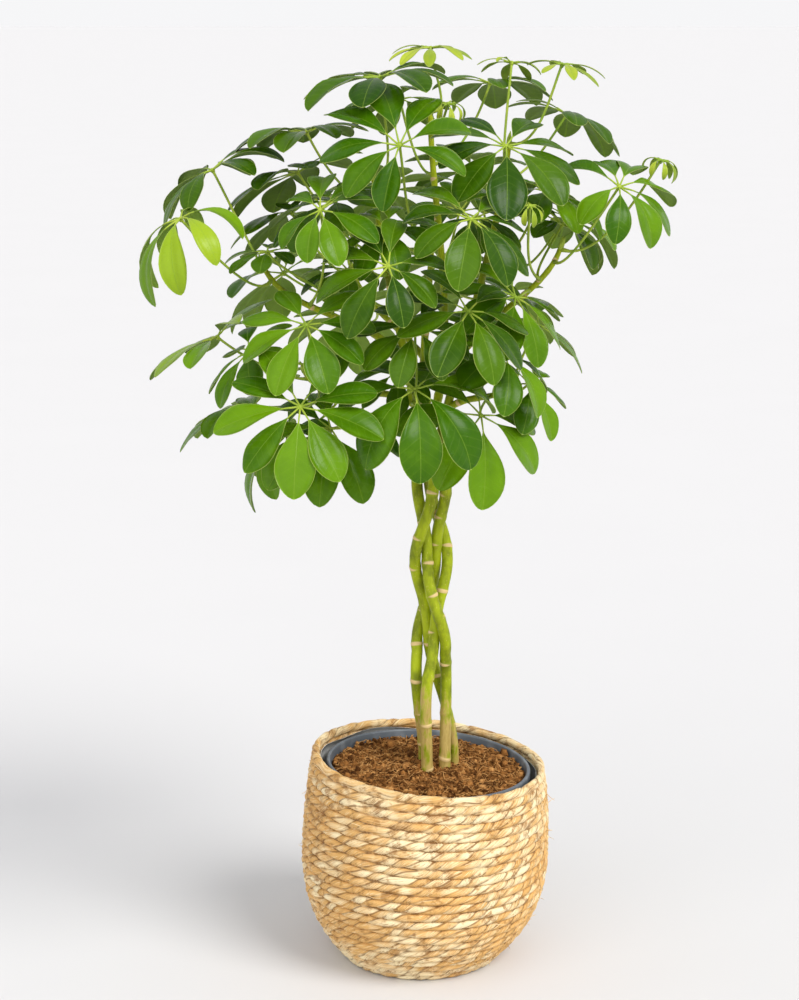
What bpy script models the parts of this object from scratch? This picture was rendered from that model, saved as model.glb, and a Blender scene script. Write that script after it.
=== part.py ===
"""Potted umbrella plant: four braided stems with a leaf crown, in soil, a nursery pot and a basket.

Metres, +Z up.  The origin is on the surface that the basket stands on, at the foot of the braid.
Angles in plan run from +X, so -90 degrees is the plant's front.
"""
import math
from itertools import product

import bmesh
import bpy
from mathutils import Matrix, Vector
from mathutils.bvhtree import BVHTree

OBJECT_NAME = "potted_umbrella_plant"
GAP = 0.0003                 # clearance between pieces that touch

# Basket: a round belly of straw rope, drawn in at the base and the rim
BASKET_H = 0.2105
BASKET_BASE_R = 0.080
BASKET_BELLY_R = 0.1275
BASKET_BELLY_Z = 0.112
BASKET_RIM_R = 0.1195
BASKET_WALL = 0.0088
BASE_CURVE = 2.4             # how suddenly the wall turns in at the base
RIM_CURVE = 1.8
BASE_SHIFT = 0.008           # the soft basket stands this far left of its rim
BASKET_SLOPE = -0.085        # its rim is higher on the left
POT_SLOPE = -0.060
TURN_STEPS = 32

# Thin plastic liner on the basket's inner wall
LINER_T = 0.0006
LINER_BELOW_RIM = 0.004

# Nursery pot
POT_RIM_Z = 0.2035
POT_BASE_R = 0.069
POT_WALL_R = 0.1005
POT_LIP_R = 0.1045
POT_LIP_H = 0.011
POT_WALL = 0.0015

# Soil
SOIL_Z = 0.1960              # at the pot's wall
SOIL_HEAP = 0.0050           # higher round the stems
SOIL_HEAP_R = 0.035

# Braid: two stems turn clockwise and two anticlockwise, and swap inside and outside as they cross
BRAID_X = 0.002
BRAID_R = 0.0123
BRAID_SWING = 0.00615
BRAID_PERIOD = 0.1675        # height between two crossings of the same order
BRAID_PHASE_Z = 0.350        # height where the clockwise stems lie outside
BRAID_LOW_SWING = 0.45       # they keep this share of the swing below it
BRAID_TURN = math.pi / BRAID_PERIOD
BRAID_Z = (0.310, 0.540)     # the stems rise singly below and above this
STEM_FOOT_Z = 0.130
STEM_FREE_Z = 0.204          # straight up to here, in the soil
STEM_R = 0.0057
STEM_SIDES = 8
SHOOT_R = (0.0046, 0.0026)   # leader at the braid's end and at its tip
BRANCH_R = (0.0037, 0.0024)

# stem: turn, height where it faces +X, foot (x, y), foot radius
STEMS = {
    "stem_front": (1, 0.397, (-0.004, -0.013), 0.0060),
    "stem_right": (-1, 0.302, (0.0145, -0.005), 0.0058),
    "stem_back": (1, 0.400 - BRAID_PERIOD, (0.0245, 0.012), 0.0046),
    "stem_left": (-1, 0.301 + BRAID_PERIOD, (-0.007, 0.012), 0.0056),
}

# shoot: stem, place on the leader where it forks (0 for the leader itself), tip
SHOOTS = {
    "left_top": ("stem_front", 0.0, (-0.055, -0.010, 0.800)),
    "left_high": ("stem_front", 0.30, (-0.160, -0.030, 0.715)),
    "left_mid": ("stem_front", 0.12, (-0.120, -0.070, 0.620)),
    "front": ("stem_left", 0.0, (0.000, -0.060, 0.745)),
    "front_low": ("stem_left", 0.15, (-0.020, -0.100, 0.605)),
    "right_top": ("stem_back", 0.0, (0.075, 0.000, 0.830)),
    "right": ("stem_back", 0.28, (0.125, -0.010, 0.730)),
    "right_low": ("stem_back", 0.10, (0.080, -0.040, 0.605)),
    "top": ("stem_right", 0.0, (0.000, 0.020, 0.860)),
    "back_left": ("stem_right", 0.15, (-0.080, 0.110, 0.700)),
    "back_right": ("stem_right", 0.28, (0.090, 0.100, 0.710)),
}

# leaf: shoot, place on it, hub in cm, way it faces (plan, rise), leaflet mm, leaflets, droop, age
# age is young, mid or old; droop is how far a leaflet bends over its length, in degrees
LEAVES = [
    ("right", 1.00, (22, -1, 81.5), (-40, 75), 30, 7, 130, "young"),
    ("top", 0.93, (1.5, -5, 87), (-80, 70), 27, 7, 130, "young"),
    ("right", 0.80, (9, -10, 78), (-80, 65), 22, 7, 130, "young"),
    ("left_mid", 0.85, (-12, -17, 60.5), (-95, 28), 84, 9, 35, "mid"),
    ("front", 0.98, (-3, -10, 83.5), (-92, 42), 82, 8, 50, "mid"),
    ("front_low", 0.85, (-1.5, -16.5, 62.5), (-85, 48), 92, 7, 78, "mid"),
    ("left_mid", 0.98, (-11.5, -14, 67.5), (-100, 38), 72, 8, 45, "mid"),
    ("right", 0.90, (17, -5, 78.5), (-60, 52), 84, 8, 75, "mid"),
    ("right_top", 0.80, (7, -6.5, 84), (-75, 55), 80, 9, 50, "old"),
    ("left_high", 0.90, (-23.5, -7, 76.5), (-160, 60), 94, 7, 115, "mid"),
    ("front", 0.62, (-4, -15, 73), (-95, 40), 72, 8, 55, "old"),
    ("front", 0.82, (3.5, -12.5, 77), (-70, 50), 76, 8, 60, "old"),
    ("front_low", 0.97, (-1.5, -13.5, 68), (-80, 48), 62, 8, 60, "old"),
    ("right_low", 0.60, (4.5, -10, 58), (-65, 30), 86, 7, 55, "mid"),
    ("front", 0.45, (2.5, -10.5, 67.5), (-60, 45), 74, 8, 50, "old"),
    ("left_high", 0.99, (-20.5, 0, 79.5), (-170, 62), 82, 8, 70, "old"),
    ("front", 0.93, (-6.5, -12, 77.5), (-110, 50), 66, 8, 60, "mid"),
    ("left_high", 0.62, (-10.5, -10, 76), (-115, 48), 66, 8, 60, "mid"),
    ("left_mid", 0.93, (-20.5, -4.5, 65), (175, 55), 78, 7, 35, "mid"),
    ("left_mid", 0.75, (-17, -10, 64.5), (-150, 45), 66, 7, 50, "mid"),
    ("top", 1.00, (0, 2, 92), (-90, 84), 46, 9, 55, "young"),
    ("right_top", 1.00, (12.5, 0, 90.5), (-30, 78), 44, 7, 50, "young"),
    ("right_top", 0.92, (8, 6, 90.5), (60, 75), 38, 7, 60, "young"),
    ("left_top", 0.90, (-12, 2, 84), (170, 65), 80, 8, 50, "old"),
    ("left_top", 0.70, (-13, 4, 80), (150, 66), 84, 8, 45, "old"),
    ("left_top", 0.99, (-5, -2, 87), (-130, 72), 82, 8, 50, "old"),
    ("top", 0.80, (-3, 6, 87), (110, 68), 64, 7, 55, "old"),
    ("right_low", 0.90, (7, -10, 65.5), (-35, 45), 76, 8, 60, "mid"),
    ("right", 0.62, (8, -6, 69), (-45, 48), 76, 8, 60, "mid"),
    ("right_low", 0.99, (11, 0, 66.5), (-10, 60), 80, 6, 45, "mid"),
    ("left_mid", 0.60, (-14, -5, 55.5), (-165, 40), 80, 7, 70, "mid"),
    ("left_mid", 0.45, (-9.5, -9.5, 57), (-85, 35), 84, 8, 60, "mid"),
    ("left_mid", 0.70, (-18, 2, 57.5), (170, 55), 86, 7, 40, "mid"),
    ("right_top", 0.88, (13.5, 6, 85.5), (20, 62), 72, 8, 55, "old"),
    ("left_top", 0.62, (-8.5, -4, 77), (-150, 68), 78, 8, 45, "old"),
    ("left_high", 0.70, (-14, -4, 71.5), (-150, 62), 68, 7, 50, "old"),
    ("right_top", 0.60, (11, 0, 78.5), (-20, 55), 80, 8, 70, "mid"),
    ("right_top", 0.50, (4.5, -2, 74), (-80, 60), 64, 7, 60, "old"),
    ("top", 0.90, (5, 9, 87), (60, 70), 72, 8, 50, "old"),
    ("left_top", 0.50, (-8, -1, 71), (-120, 50), 72, 8, 55, "old"),
    ("right", 0.72, (13, 3, 75), (-10, 60), 72, 8, 70, "old"),
    ("right_low", 0.70, (9.5, -5, 60.5), (-40, 50), 60, 6, 55, "mid"),
    ("back_left", 0.95, (-16.5, 10, 78), (140, 62), 74, 8, 50, "old"),
    ("back_left", 0.80, (-15, 13, 69), (140, 45), 80, 8, 55, "mid"),
    ("back_left", 0.65, (-8, 18, 64), (100, 35), 78, 8, 50, "mid"),
    ("back_left", 0.99, (-5, 16, 77), (100, 52), 78, 8, 50, "mid"),
    ("back_right", 0.90, (14, 11, 75), (35, 50), 76, 8, 55, "mid"),
    ("back_right", 0.70, (8, 17, 66), (70, 38), 78, 8, 50, "mid"),
    ("back_right", 0.99, (5, 16, 79), (80, 55), 76, 8, 50, "mid"),
    ("back_right", 0.50, (2, 16, 69), (90, 40), 72, 7, 55, "old"),
    ("left_top", 0.35, (-4, -8, 63), (-95, 40), 74, 8, 55, "old"),
    ("top", 0.55, (3, 6, 76), (-70, 55), 66, 8, 60, "old"),
]

LEAF_T = 0.0010
HUB_R = 0.0030
PETIOLE_R = 0.0013
PETIOLE_STEPS = (0.07, 0.36, 0.68, 1.0)
SEAT = 0.00035               # gap between a petiole's foot and the bark
RISE = math.radians(14)      # a leaflet leaves the hub this far above the leaf's plane
BELLY_AT = 0.64              # where a leaflet is widest, as a share of its length
BELLY_HALF = 0.225           # half that width, as a share of its length
TIP_HALF = 0.35              # half width at the tip, as a share of the widest
INNER_SHORT = 0.24           # leaflets next to the petiole are shorter by this share
SAG_DOWN = 0.5               # a leaflet bends half under the leaf and half straight down
VARY = {"turn": math.radians(6), "rise": math.radians(10), "bend": 0.22, "length": 0.08}
TEST_MARGIN = 0.0007         # room kept round a leaf while its place is sought

# What a leaf may do to clear its neighbours: shrink, reach out, tilt, spin, or slide down its shoot
SIZES = (1.0, 0.92, 0.84, 0.76, 0.68)
REACHES = (0.0, 0.012, -0.012, 0.024, -0.024, 0.036, -0.036)
TILTS = (0.0, 9.0, -9.0, 18.0, -18.0)
SPINS = (0.0, 8.0, -8.0, 16.0, -16.0)
SLIDES = (0.0, -0.07, -0.14, -0.21)
EFFORTS = (12.5, 83.0, 0.08, 0.05, 7.0)  # weight of each such change, the least effort tried first

# material: colour, roughness
FINISHES = {
    "straw": ((0.66, 0.46, 0.22), 0.80),
    "liner": ((0.42, 0.44, 0.46), 0.35),
    "pot": ((0.055, 0.065, 0.085), 0.45),
    "soil": ((0.085, 0.038, 0.016), 0.95),
    "bark": ((0.26, 0.30, 0.05), 0.60),
    "young": ((0.33, 0.50, 0.06), 0.40),
    "mid": ((0.09, 0.25, 0.025), 0.35),
    "old": ((0.045, 0.15, 0.018), 0.35),
}


def clear_scene():
    for obj in list(bpy.data.objects):
        bpy.data.objects.remove(obj, do_unlink=True)


def new_collection(name):
    collection = bpy.data.collections.new(name)
    bpy.context.scene.collection.children.link(collection)
    return collection


def new_material(name, finish):
    colour, roughness = FINISHES[finish]
    material = bpy.data.materials.new(name)
    material.use_nodes = True
    shader = material.node_tree.nodes["Principled BSDF"]
    shader.inputs["Base Color"].default_value = (*colour, 1.0)
    shader.inputs["Roughness"].default_value = roughness
    return material


def new_object(name, mesh, collection, finish):
    """Link a mesh as the named part, with a material of its own."""
    obj = bpy.data.objects.new(name, mesh)
    obj.data.materials.append(new_material(name + "_finish", finish))
    collection.objects.link(obj)
    return obj


def evaluated_mesh(obj):
    depsgraph = bpy.context.evaluated_depsgraph_get()
    return bpy.data.meshes.new_from_object(obj.evaluated_get(depsgraph))


def shade_round(mesh, angle=math.radians(40)):
    mesh.shade_smooth()
    mesh.set_sharp_from_angle(angle=angle)


# ---------------------------------------------------------------- turned pieces

def lean(mesh, slope):
    """Raise the left side of a turned piece towards its rim, and shift its foot to the left."""
    for vertex in mesh.vertices:
        x, y, z = vertex.co
        height = z / BASKET_H
        vertex.co = (x - BASE_SHIFT * (1 - height), y, z + slope * x * height)


def turned(name, profile, collection, finish, slope):
    """Turn a closed section, given from its inner centre over the rim and down the outside."""
    mesh = bpy.data.meshes.new(name)
    edges = [(i, i + 1) for i in range(len(profile) - 1)]
    mesh.from_pydata([(r, 0.0, z) for r, z in profile], edges, [])
    profile_object = bpy.data.objects.new(name + "_profile", mesh)
    collection.objects.link(profile_object)
    screw = profile_object.modifiers.new("turn", "SCREW")
    screw.steps = screw.render_steps = TURN_STEPS
    screw.use_merge_vertices = True
    screw.merge_threshold = 0.0001
    solid = evaluated_mesh(profile_object)
    bpy.data.objects.remove(profile_object, do_unlink=True)
    lean(solid, slope)
    shade_round(solid)
    return new_object(name, solid, collection, finish)


def basket_radius(z):
    """Outer radius of the basket at a height."""
    if z < BASKET_BELLY_Z:
        drop = (BASKET_BELLY_Z - z) / BASKET_BELLY_Z
        return BASKET_BELLY_R - (BASKET_BELLY_R - BASKET_BASE_R) * drop ** BASE_CURVE
    rise = (z - BASKET_BELLY_Z) / (BASKET_H - BASKET_BELLY_Z)
    return BASKET_BELLY_R - (BASKET_BELLY_R - BASKET_RIM_R) * rise ** RIM_CURVE


def wall_line(z_low, z_high, inset, count):
    """Points up the basket's wall, a distance inside its outer face."""
    step = (z_high - z_low) / (count - 1)
    heights = [z_low + i * step for i in range(count)]
    return [(basket_radius(z) - inset, z) for z in heights]


def make_basket(collection):
    floor = BASKET_WALL
    rim = BASKET_H - BASKET_WALL / 2
    inner = wall_line(floor, rim, BASKET_WALL, 6)
    outer = wall_line(0.006, rim, 0.0, 7)
    middle = basket_radius(BASKET_H) - BASKET_WALL / 2
    profile = [(0.0, floor), *inner, (middle, BASKET_H), *reversed(outer)]
    profile += [(BASKET_BASE_R, 0.0), (0.0, 0.0)]
    return turned("basket", profile, collection, "straw", BASKET_SLOPE)


def make_liner(collection):
    """A sheet a little inside the basket's wall and floor."""
    outer_inset = BASKET_WALL + 2 * GAP
    floor = BASKET_WALL + GAP
    top = BASKET_H - LINER_BELOW_RIM
    inner = wall_line(floor + LINER_T, top, outer_inset + LINER_T, 6)
    outer = wall_line(floor, top, outer_inset, 6)
    profile = [(0.0, floor + LINER_T), *inner, *reversed(outer), (0.0, floor)]
    return turned("plastic_liner", profile, collection, "liner", BASKET_SLOPE)


def pot_floor():
    return BASKET_WALL + LINER_T + 2 * GAP


def pot_wall(z):
    """Outer radius of the pot's wall at a height."""
    share = (z - pot_floor()) / (POT_RIM_Z - POT_LIP_H - pot_floor())
    return POT_BASE_R + (POT_WALL_R - POT_BASE_R) * share


def make_pot(collection):
    low = pot_floor()
    under_lip = POT_RIM_Z - POT_LIP_H
    profile = [
        (0.0, low + POT_WALL),
        (POT_BASE_R - POT_WALL, low + POT_WALL),
        (pot_wall(SOIL_Z) - POT_WALL, SOIL_Z),
        (POT_WALL_R, POT_RIM_Z - 0.003),
        (POT_WALL_R + 0.001, POT_RIM_Z),
        (POT_LIP_R - 0.001, POT_RIM_Z),
        (POT_LIP_R, POT_RIM_Z - 0.0015),
        (POT_LIP_R, under_lip + 0.002),
        (POT_WALL_R, under_lip),
        (POT_BASE_R, low),
        (0.0, low),
    ]
    return turned("nursery_pot", profile, collection, "pot", POT_SLOPE)


def make_soil(collection, cutters):
    """Soil that fills the pot, with a socket for each stem's foot."""
    inset = POT_WALL + 2 * GAP
    low = pot_floor() + POT_WALL + GAP
    profile = [
        (0.0, SOIL_Z + SOIL_HEAP),
        (SOIL_HEAP_R, SOIL_Z + SOIL_HEAP),
        (pot_wall(SOIL_Z) - inset, SOIL_Z),
        (POT_BASE_R - inset, low),
        (0.0, low),
    ]
    soil = turned("soil", profile, collection, "soil", POT_SLOPE)
    for name, (_, _, foot, radius) in STEMS.items():
        cutter = make_socket(name, foot, radius, cutters)
        cut = soil.modifiers.new("socket_" + name, "BOOLEAN")
        cut.operation = "DIFFERENCE"
        cut.solver = "EXACT"
        cut.object = cutter
    return soil


def make_socket(name, foot, radius, cutters):
    sides = 16
    clear = (radius + GAP) / math.cos(math.pi / sides)
    height = SOIL_Z + 2 * SOIL_HEAP - STEM_FOOT_Z
    middle = (BRAID_X + foot[0], foot[1], STEM_FOOT_Z - GAP + height / 2)
    bm = bmesh.new()
    bmesh.ops.create_cone(bm, cap_ends=True, segments=sides, radius1=clear, radius2=clear,
                          depth=height, matrix=Matrix.Translation(middle))
    return new_cutter(name + "_socket", bm, cutters)


def new_cutter(name, bm, cutters):
    mesh = bpy.data.meshes.new(name)
    bm.to_mesh(mesh)
    bm.free()
    return link_cutter(name, mesh, cutters)


def link_cutter(name, mesh, cutters):
    cutter = bpy.data.objects.new(name, mesh)
    cutter.hide_render = True
    cutter.display_type = "WIRE"
    cutters.objects.link(cutter)
    return cutter


# ---------------------------------------------------------------- stems and shoots

def braid_point(stem, z):
    """Centre of a braided stem at a height."""
    turn, facing_z, _, _ = STEMS[stem]
    angle = turn * BRAID_TURN * (z - facing_z)
    swing = math.cos(2 * math.pi * (z - BRAID_PHASE_Z) / BRAID_PERIOD)
    if turn < 0 and z < BRAID_PHASE_Z:
        swing = max(swing, BRAID_LOW_SWING)
    radius = BRAID_R - turn * BRAID_SWING * swing
    return Vector((BRAID_X + radius * math.cos(angle), radius * math.sin(angle), z))


def braid_slope(stem, z):
    step = 0.0005
    return (braid_point(stem, z + step) - braid_point(stem, z - step)) / (2 * step)


def foot_point(stem, z):
    """Centre of a stem below the braid: upright in the soil, then bending into its first turn."""
    foot = STEMS[stem][2]
    low = Vector((BRAID_X + foot[0], foot[1], STEM_FREE_Z))
    if z <= STEM_FREE_Z:
        return Vector((low.x, low.y, z))
    high = braid_point(stem, BRAID_Z[0])
    span = BRAID_Z[0] - STEM_FREE_Z
    u = (z - STEM_FREE_Z) / span
    point = low.lerp(high, u * u * (3 - 2 * u)) + braid_slope(stem, BRAID_Z[0]) * span * u * u * (u - 1)
    return Vector((point.x, point.y, z))


def bezier(points, t):
    a, b, c, d = points
    s = 1 - t
    return a * s ** 3 + b * (3 * s * s * t) + c * (3 * s * t * t) + d * t ** 3


def bezier_direction(points, t):
    a, b, c, d = points
    s = 1 - t
    return ((b - a) * s * s + (c - b) * (2 * s * t) + (d - c) * t * t).normalized()


def shoot_curve(name):
    """Control points of a shoot: out of its stem or fork, then up and outward to its tip."""
    stem, fork, tip = SHOOTS[name]
    tip = Vector(tip)
    if fork == 0.0:
        start = braid_point(stem, BRAID_Z[1])
        heading = braid_slope(stem, BRAID_Z[1]).normalized()
    else:
        leader = shoot_curve(leader_of(stem))
        start = bezier(leader, fork)
        heading = bezier_direction(leader, fork) * 0.4 + (tip - start).normalized() * 0.6
        heading.normalize()
    reach = (tip - start).length
    ending = ((tip - start).normalized() * 0.5 + Vector((0, 0, 0.7))).normalized()
    return start, start + heading * reach * 0.35, tip - ending * reach * 0.30, tip


def leader_of(stem):
    return next(name for name, shoot in SHOOTS.items() if shoot[0] == stem and shoot[1] == 0.0)


def tube_mesh(name, points, radii):
    """A round tube along points, as one closed mesh."""
    curve = bpy.data.curves.new(name, "CURVE")
    curve.dimensions = "3D"
    curve.bevel_depth = STEM_R
    curve.bevel_resolution = STEM_SIDES // 2 - 2
    curve.use_fill_caps = True
    spline = curve.splines.new("POLY")
    spline.points.add(len(points) - 1)
    for point, place, radius in zip(spline.points, points, radii):
        point.co = (*place, 1.0)
        point.radius = radius / STEM_R
    guide = bpy.data.objects.new(name, curve)
    bpy.context.scene.collection.objects.link(guide)
    mesh = evaluated_mesh(guide)
    bpy.data.objects.remove(guide, do_unlink=True)
    bm = bmesh.new()
    bm.from_mesh(mesh)
    bmesh.ops.remove_doubles(bm, verts=bm.verts, dist=0.00001)
    bm.to_mesh(mesh)
    bm.free()
    return mesh


def spaced(low, high, count):
    return [low + (high - low) * i / count for i in range(count + 1)]


def stem_line(stem):
    """Points and radii from the foot in the soil to the leader's tip."""
    foot_r = STEMS[stem][3]
    line = [(foot_point(stem, z), foot_r) for z in (STEM_FOOT_Z, STEM_FREE_Z)]
    for z in spaced(STEM_FREE_Z, BRAID_Z[0], 5)[1:-1]:
        share = (z - STEM_FREE_Z) / (BRAID_Z[0] - STEM_FREE_Z)
        line.append((foot_point(stem, z), foot_r + (STEM_R - foot_r) * share))
    for z in spaced(*BRAID_Z, 17):
        line.append((braid_point(stem, z), STEM_R))
    leader = shoot_curve(leader_of(stem))
    line[-1] = (line[-1][0], (STEM_R + SHOOT_R[0]) / 2)
    for t in spaced(0.0, 1.0, 9)[1:]:
        line.append((bezier(leader, t), SHOOT_R[0] + (SHOOT_R[1] - SHOOT_R[0]) * t))
    return [point for point, _ in line], [radius for _, radius in line]


def make_stem(stem, collection, cutters):
    """One grown piece: the braided stem, its leader and the branches that fork from it."""
    mesh = tube_mesh(stem, *stem_line(stem))
    shade_round(mesh)
    obj = new_object(stem, mesh, collection, "bark")
    for name, (owner, fork, _) in SHOOTS.items():
        if owner != stem or fork == 0.0:
            continue
        steps = spaced(0.0, 1.0, 8)
        curve = shoot_curve(name)
        radii = [BRANCH_R[0] + (BRANCH_R[1] - BRANCH_R[0]) * t for t in steps]
        branch = tube_mesh(name, [bezier(curve, t) for t in steps], radii)
        grow = obj.modifiers.new("branch_" + name, "BOOLEAN")
        grow.operation = "UNION"
        grow.solver = "EXACT"
        grow.object = link_cutter(name, branch, cutters)
    return obj


def shoot_radius(name, t):
    low, high = SHOOT_R if SHOOTS[name][1] == 0.0 else BRANCH_R
    return low + (high - low) * t


# ---------------------------------------------------------------- leaves

def plan_vector(turn, rise):
    """Unit vector from a turn in plan and a rise above level, in degrees."""
    turn, rise = math.radians(turn), math.radians(rise)
    return Vector((math.cos(turn) * math.cos(rise), math.sin(turn) * math.cos(rise), math.sin(rise)))


def leaf_pose(leaf, choice):
    """Foot, hub and axes of a leaf after it has made way for its neighbours."""
    shoot, place, hub, facing, _, _, _, _ = leaf
    size, reach, tilt, spin, slide = choice
    curve = shoot_curve(shoot)
    place = place + slide
    core = bezier(curve, place)
    along = bezier_direction(curve, place)
    hub = Vector(hub) * 0.01
    chord = (hub - core).normalized()
    hub += chord * reach
    side = (hub - core) - along * (hub - core).dot(along)
    if side.length < 0.01:
        side = Vector((along.z, 0.0, -along.x))
    side.normalize()
    foot = core + side * (shoot_radius(shoot, place) + SEAT)
    normal = plan_vector(facing[0], facing[1] + tilt)
    outward = hub - foot
    outward -= normal * outward.dot(normal)
    if outward.length < 0.02:
        outward = plan_vector(facing[0], facing[1] - 90.0)
        outward -= normal * outward.dot(normal)
    outward.normalize()
    outward = Matrix.Rotation(math.radians(spin), 3, normal) @ outward
    return foot, side, hub, normal, outward


def petiole_curve(foot, side, hub, normal):
    reach = (hub - foot).length
    arrive = (normal * 0.5 + (hub - foot).normalized() * 0.5).normalized()
    return foot, foot + side * reach * 0.3, hub - arrive * reach * 0.3, hub


def vary(kind, number, position):
    """A fixed irregularity for one leaflet of one leaf, within plus or minus VARY's share."""
    wave = math.sin(number * 12.9898 + position * 78.233 + len(kind) * 37.719) * 43758.5453
    return VARY[kind] * (2 * (wave - math.floor(wave)) - 1)


class Leaflet:
    """One leaflet's midrib: an arc that leaves the hub and sags under its own weight."""

    def __init__(self, number, position, angle, length, droop, down):
        angle += vary("turn", number, position)
        self.ray = Vector((math.cos(angle), math.sin(angle), 0.0))
        shorter = 1 - INNER_SHORT * (1 - math.cos(angle)) / 2
        self.length = length * shorter * (1 + vary("length", number, position))
        self.bend = math.radians(droop) * (1 + vary("bend", number, position))
        self.rise = RISE + vary("rise", number, position)
        sag = Vector((0, 0, -1)) * (1 - SAG_DOWN) + down * SAG_DOWN
        sag -= self.ray * sag.dot(self.ray)
        self.sag = sag.normalized()
        self.across = self.sag.cross(self.ray)

    def midrib(self, share):
        """Point on the midrib, and the upward direction there, at a share of the length."""
        start, turned_by = self.rise, self.bend * share
        radius = self.length / self.bend
        out = radius * (math.sin(start) - math.sin(start - turned_by))
        drop = radius * (math.cos(start) - math.cos(start - turned_by))
        heading = start - turned_by
        up = -self.sag * math.cos(heading) - self.ray * math.sin(heading)
        return self.ray * (HUB_R + out) + self.sag * drop, up


def extrude_to(bm, face, places):
    """Extrude a face and move its new corners: each to the place paired with the nearest old one."""
    new = bmesh.ops.extrude_discrete_faces(bm, faces=[face])["faces"][0]
    for vertex in new.verts:
        vertex.co = min(places, key=lambda pair: (vertex.co - pair[0]).length)[1]
    return new


def grow_leaflet(bm, face, leaflet, margin):
    """Draw one side of the hub out into a leaflet: widest at its belly, narrow at its tip."""
    widest = BELLY_HALF * leaflet.length + margin
    up_before = Vector((0, 0, 1))
    for share, half in ((BELLY_AT, widest), (1.0, widest * TIP_HALF)):
        centre, up = leaflet.midrib(share)
        middle = face.calc_center_median()
        places = []
        for vertex in face.verts:
            offset = vertex.co - middle
            side = math.copysign(half, offset.dot(leaflet.across))
            lift = math.copysign(LEAF_T / 2 + margin, offset.dot(up_before))
            places.append((vertex.co.copy(), centre + leaflet.across * side + up * lift))
        face = extrude_to(bm, face, places)
        up_before = up


def grow_petiole(bm, face, to_local, curve, margin):
    """Draw the hub's underside down the petiole to its foot on the shoot."""
    corners = [vertex.co.copy() for vertex in face.verts]
    start = face.calc_center_median()
    offsets = [corner - start for corner in corners]
    rotation = to_local.to_3x3()
    shrink = (PETIOLE_R + margin) / HUB_R
    for step in PETIOLE_STEPS:
        centre = to_local @ bezier(curve, 1.0 - step)
        heading = rotation @ -bezier_direction(curve, 1.0 - step)
        turn = Vector((0, 0, -1)).rotation_difference(heading)
        new_corners = [centre + turn @ (offset * shrink) for offset in offsets]
        face = extrude_to(bm, face, list(zip(corners, new_corners)))
        corners = new_corners


def leaf_frame(hub, normal, outward):
    frame = Matrix((outward, normal.cross(outward), normal)).transposed().to_4x4()
    frame.translation = hub
    return frame


def leaf_mesh(number, choice, margin=0.0):
    """A leaf as one closed solid: hub, leaflets round it and the petiole below it."""
    _, _, _, _, length, count, droop, _ = LEAVES[number]
    foot, side, hub, normal, outward = leaf_pose(LEAVES[number], choice)
    frame = leaf_frame(hub, normal, outward)
    down = frame.to_3x3().transposed() @ Vector((0, 0, -1))
    sides = count + 1
    spread = 2 * math.pi / sides
    bm = bmesh.new()
    bmesh.ops.create_cone(bm, cap_ends=True, segments=sides, radius1=HUB_R, radius2=HUB_R,
                          depth=LEAF_T + 2 * margin,
                          matrix=Matrix.Rotation((math.pi + spread) / 2, 4, "Z"))
    bm.normal_update()
    walls = [face for face in bm.faces if abs(face.normal.z) < 0.5]
    under = min(bm.faces, key=lambda face: face.normal.z)
    for face in walls:
        angle = math.atan2(face.normal.y, face.normal.x)
        position = round((angle - math.pi) / spread) % sides
        if position != 0:
            reach = length * 0.001 * choice[0]
            grow_leaflet(bm, face, Leaflet(number, position, angle, reach, droop, down), margin)
    grow_petiole(bm, under, frame.inverted(), petiole_curve(foot, side, hub, normal), margin)
    bm.transform(frame)
    return bm


def box_of(vertices):
    xs, ys, zs = zip(*vertices)
    return (min(xs), min(ys), min(zs)), (max(xs), max(ys), max(zs))


def boxes_meet(one, other):
    return all(one[0][i] <= other[1][i] and other[0][i] <= one[1][i] for i in range(3))


def obstacle(bm):
    bm.normal_update()
    return box_of([vertex.co[:] for vertex in bm.verts]), BVHTree.FromBMesh(bm)


def stands_clear(number, choice, obstacles):
    bm = leaf_mesh(number, choice, TEST_MARGIN)
    box, tree = obstacle(bm)
    bm.free()
    return not any(boxes_meet(box, other) and tree.overlap(hurdle) for other, hurdle in obstacles)


def effort(choice):
    """How far a choice departs from the leaf's own row in the table."""
    changes = (1.0 - choice[0], *choice[1:])
    return sum(weight * abs(change) for weight, change in zip(EFFORTS, changes))


def choose_place(number, obstacles):
    """Least change to a leaf that leaves room round its neighbours."""
    for choice in sorted(product(SIZES, REACHES, TILTS, SPINS, SLIDES), key=effort):
        if stands_clear(number, choice, obstacles):
            return choice
    raise RuntimeError("no room for leaf " + str(number + 1))


def make_leaves(collection, stems):
    obstacles = []
    for stem in stems:
        bm = bmesh.new()
        bm.from_mesh(evaluated_mesh(stem))
        obstacles.append(obstacle(bm))
        bm.free()
    for number, leaf in enumerate(LEAVES):
        choice = choose_place(number, obstacles)
        bm = leaf_mesh(number, choice)
        obstacles.append(obstacle(bm))
        name = f"leaf_{number + 1:02d}"
        mesh = bpy.data.meshes.new(name)
        bm.to_mesh(mesh)
        bm.free()
        shade_round(mesh)
        new_object(name, mesh, collection, leaf[7])


def main():
    clear_scene()
    parts = new_collection(OBJECT_NAME)
    cutters = new_collection("cutters")
    make_basket(parts)
    make_liner(parts)
    make_pot(parts)
    make_soil(parts, cutters)
    stems = [make_stem(name, parts, cutters) for name in STEMS]
    make_leaves(parts, stems)


main()
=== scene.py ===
"""Looks of a potted umbrella plant: rope basket, liner, nursery pot, soil, braided stems and leaves.

Metres, +Z up, in the frame of the packed model.  Each piece stands where its node stands.
"""

import math
from itertools import product
from random import Random

import bpy
from bpy.props import FloatProperty, FloatVectorProperty, IntProperty, PointerProperty
from mathutils import Matrix, Vector, noise


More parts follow.
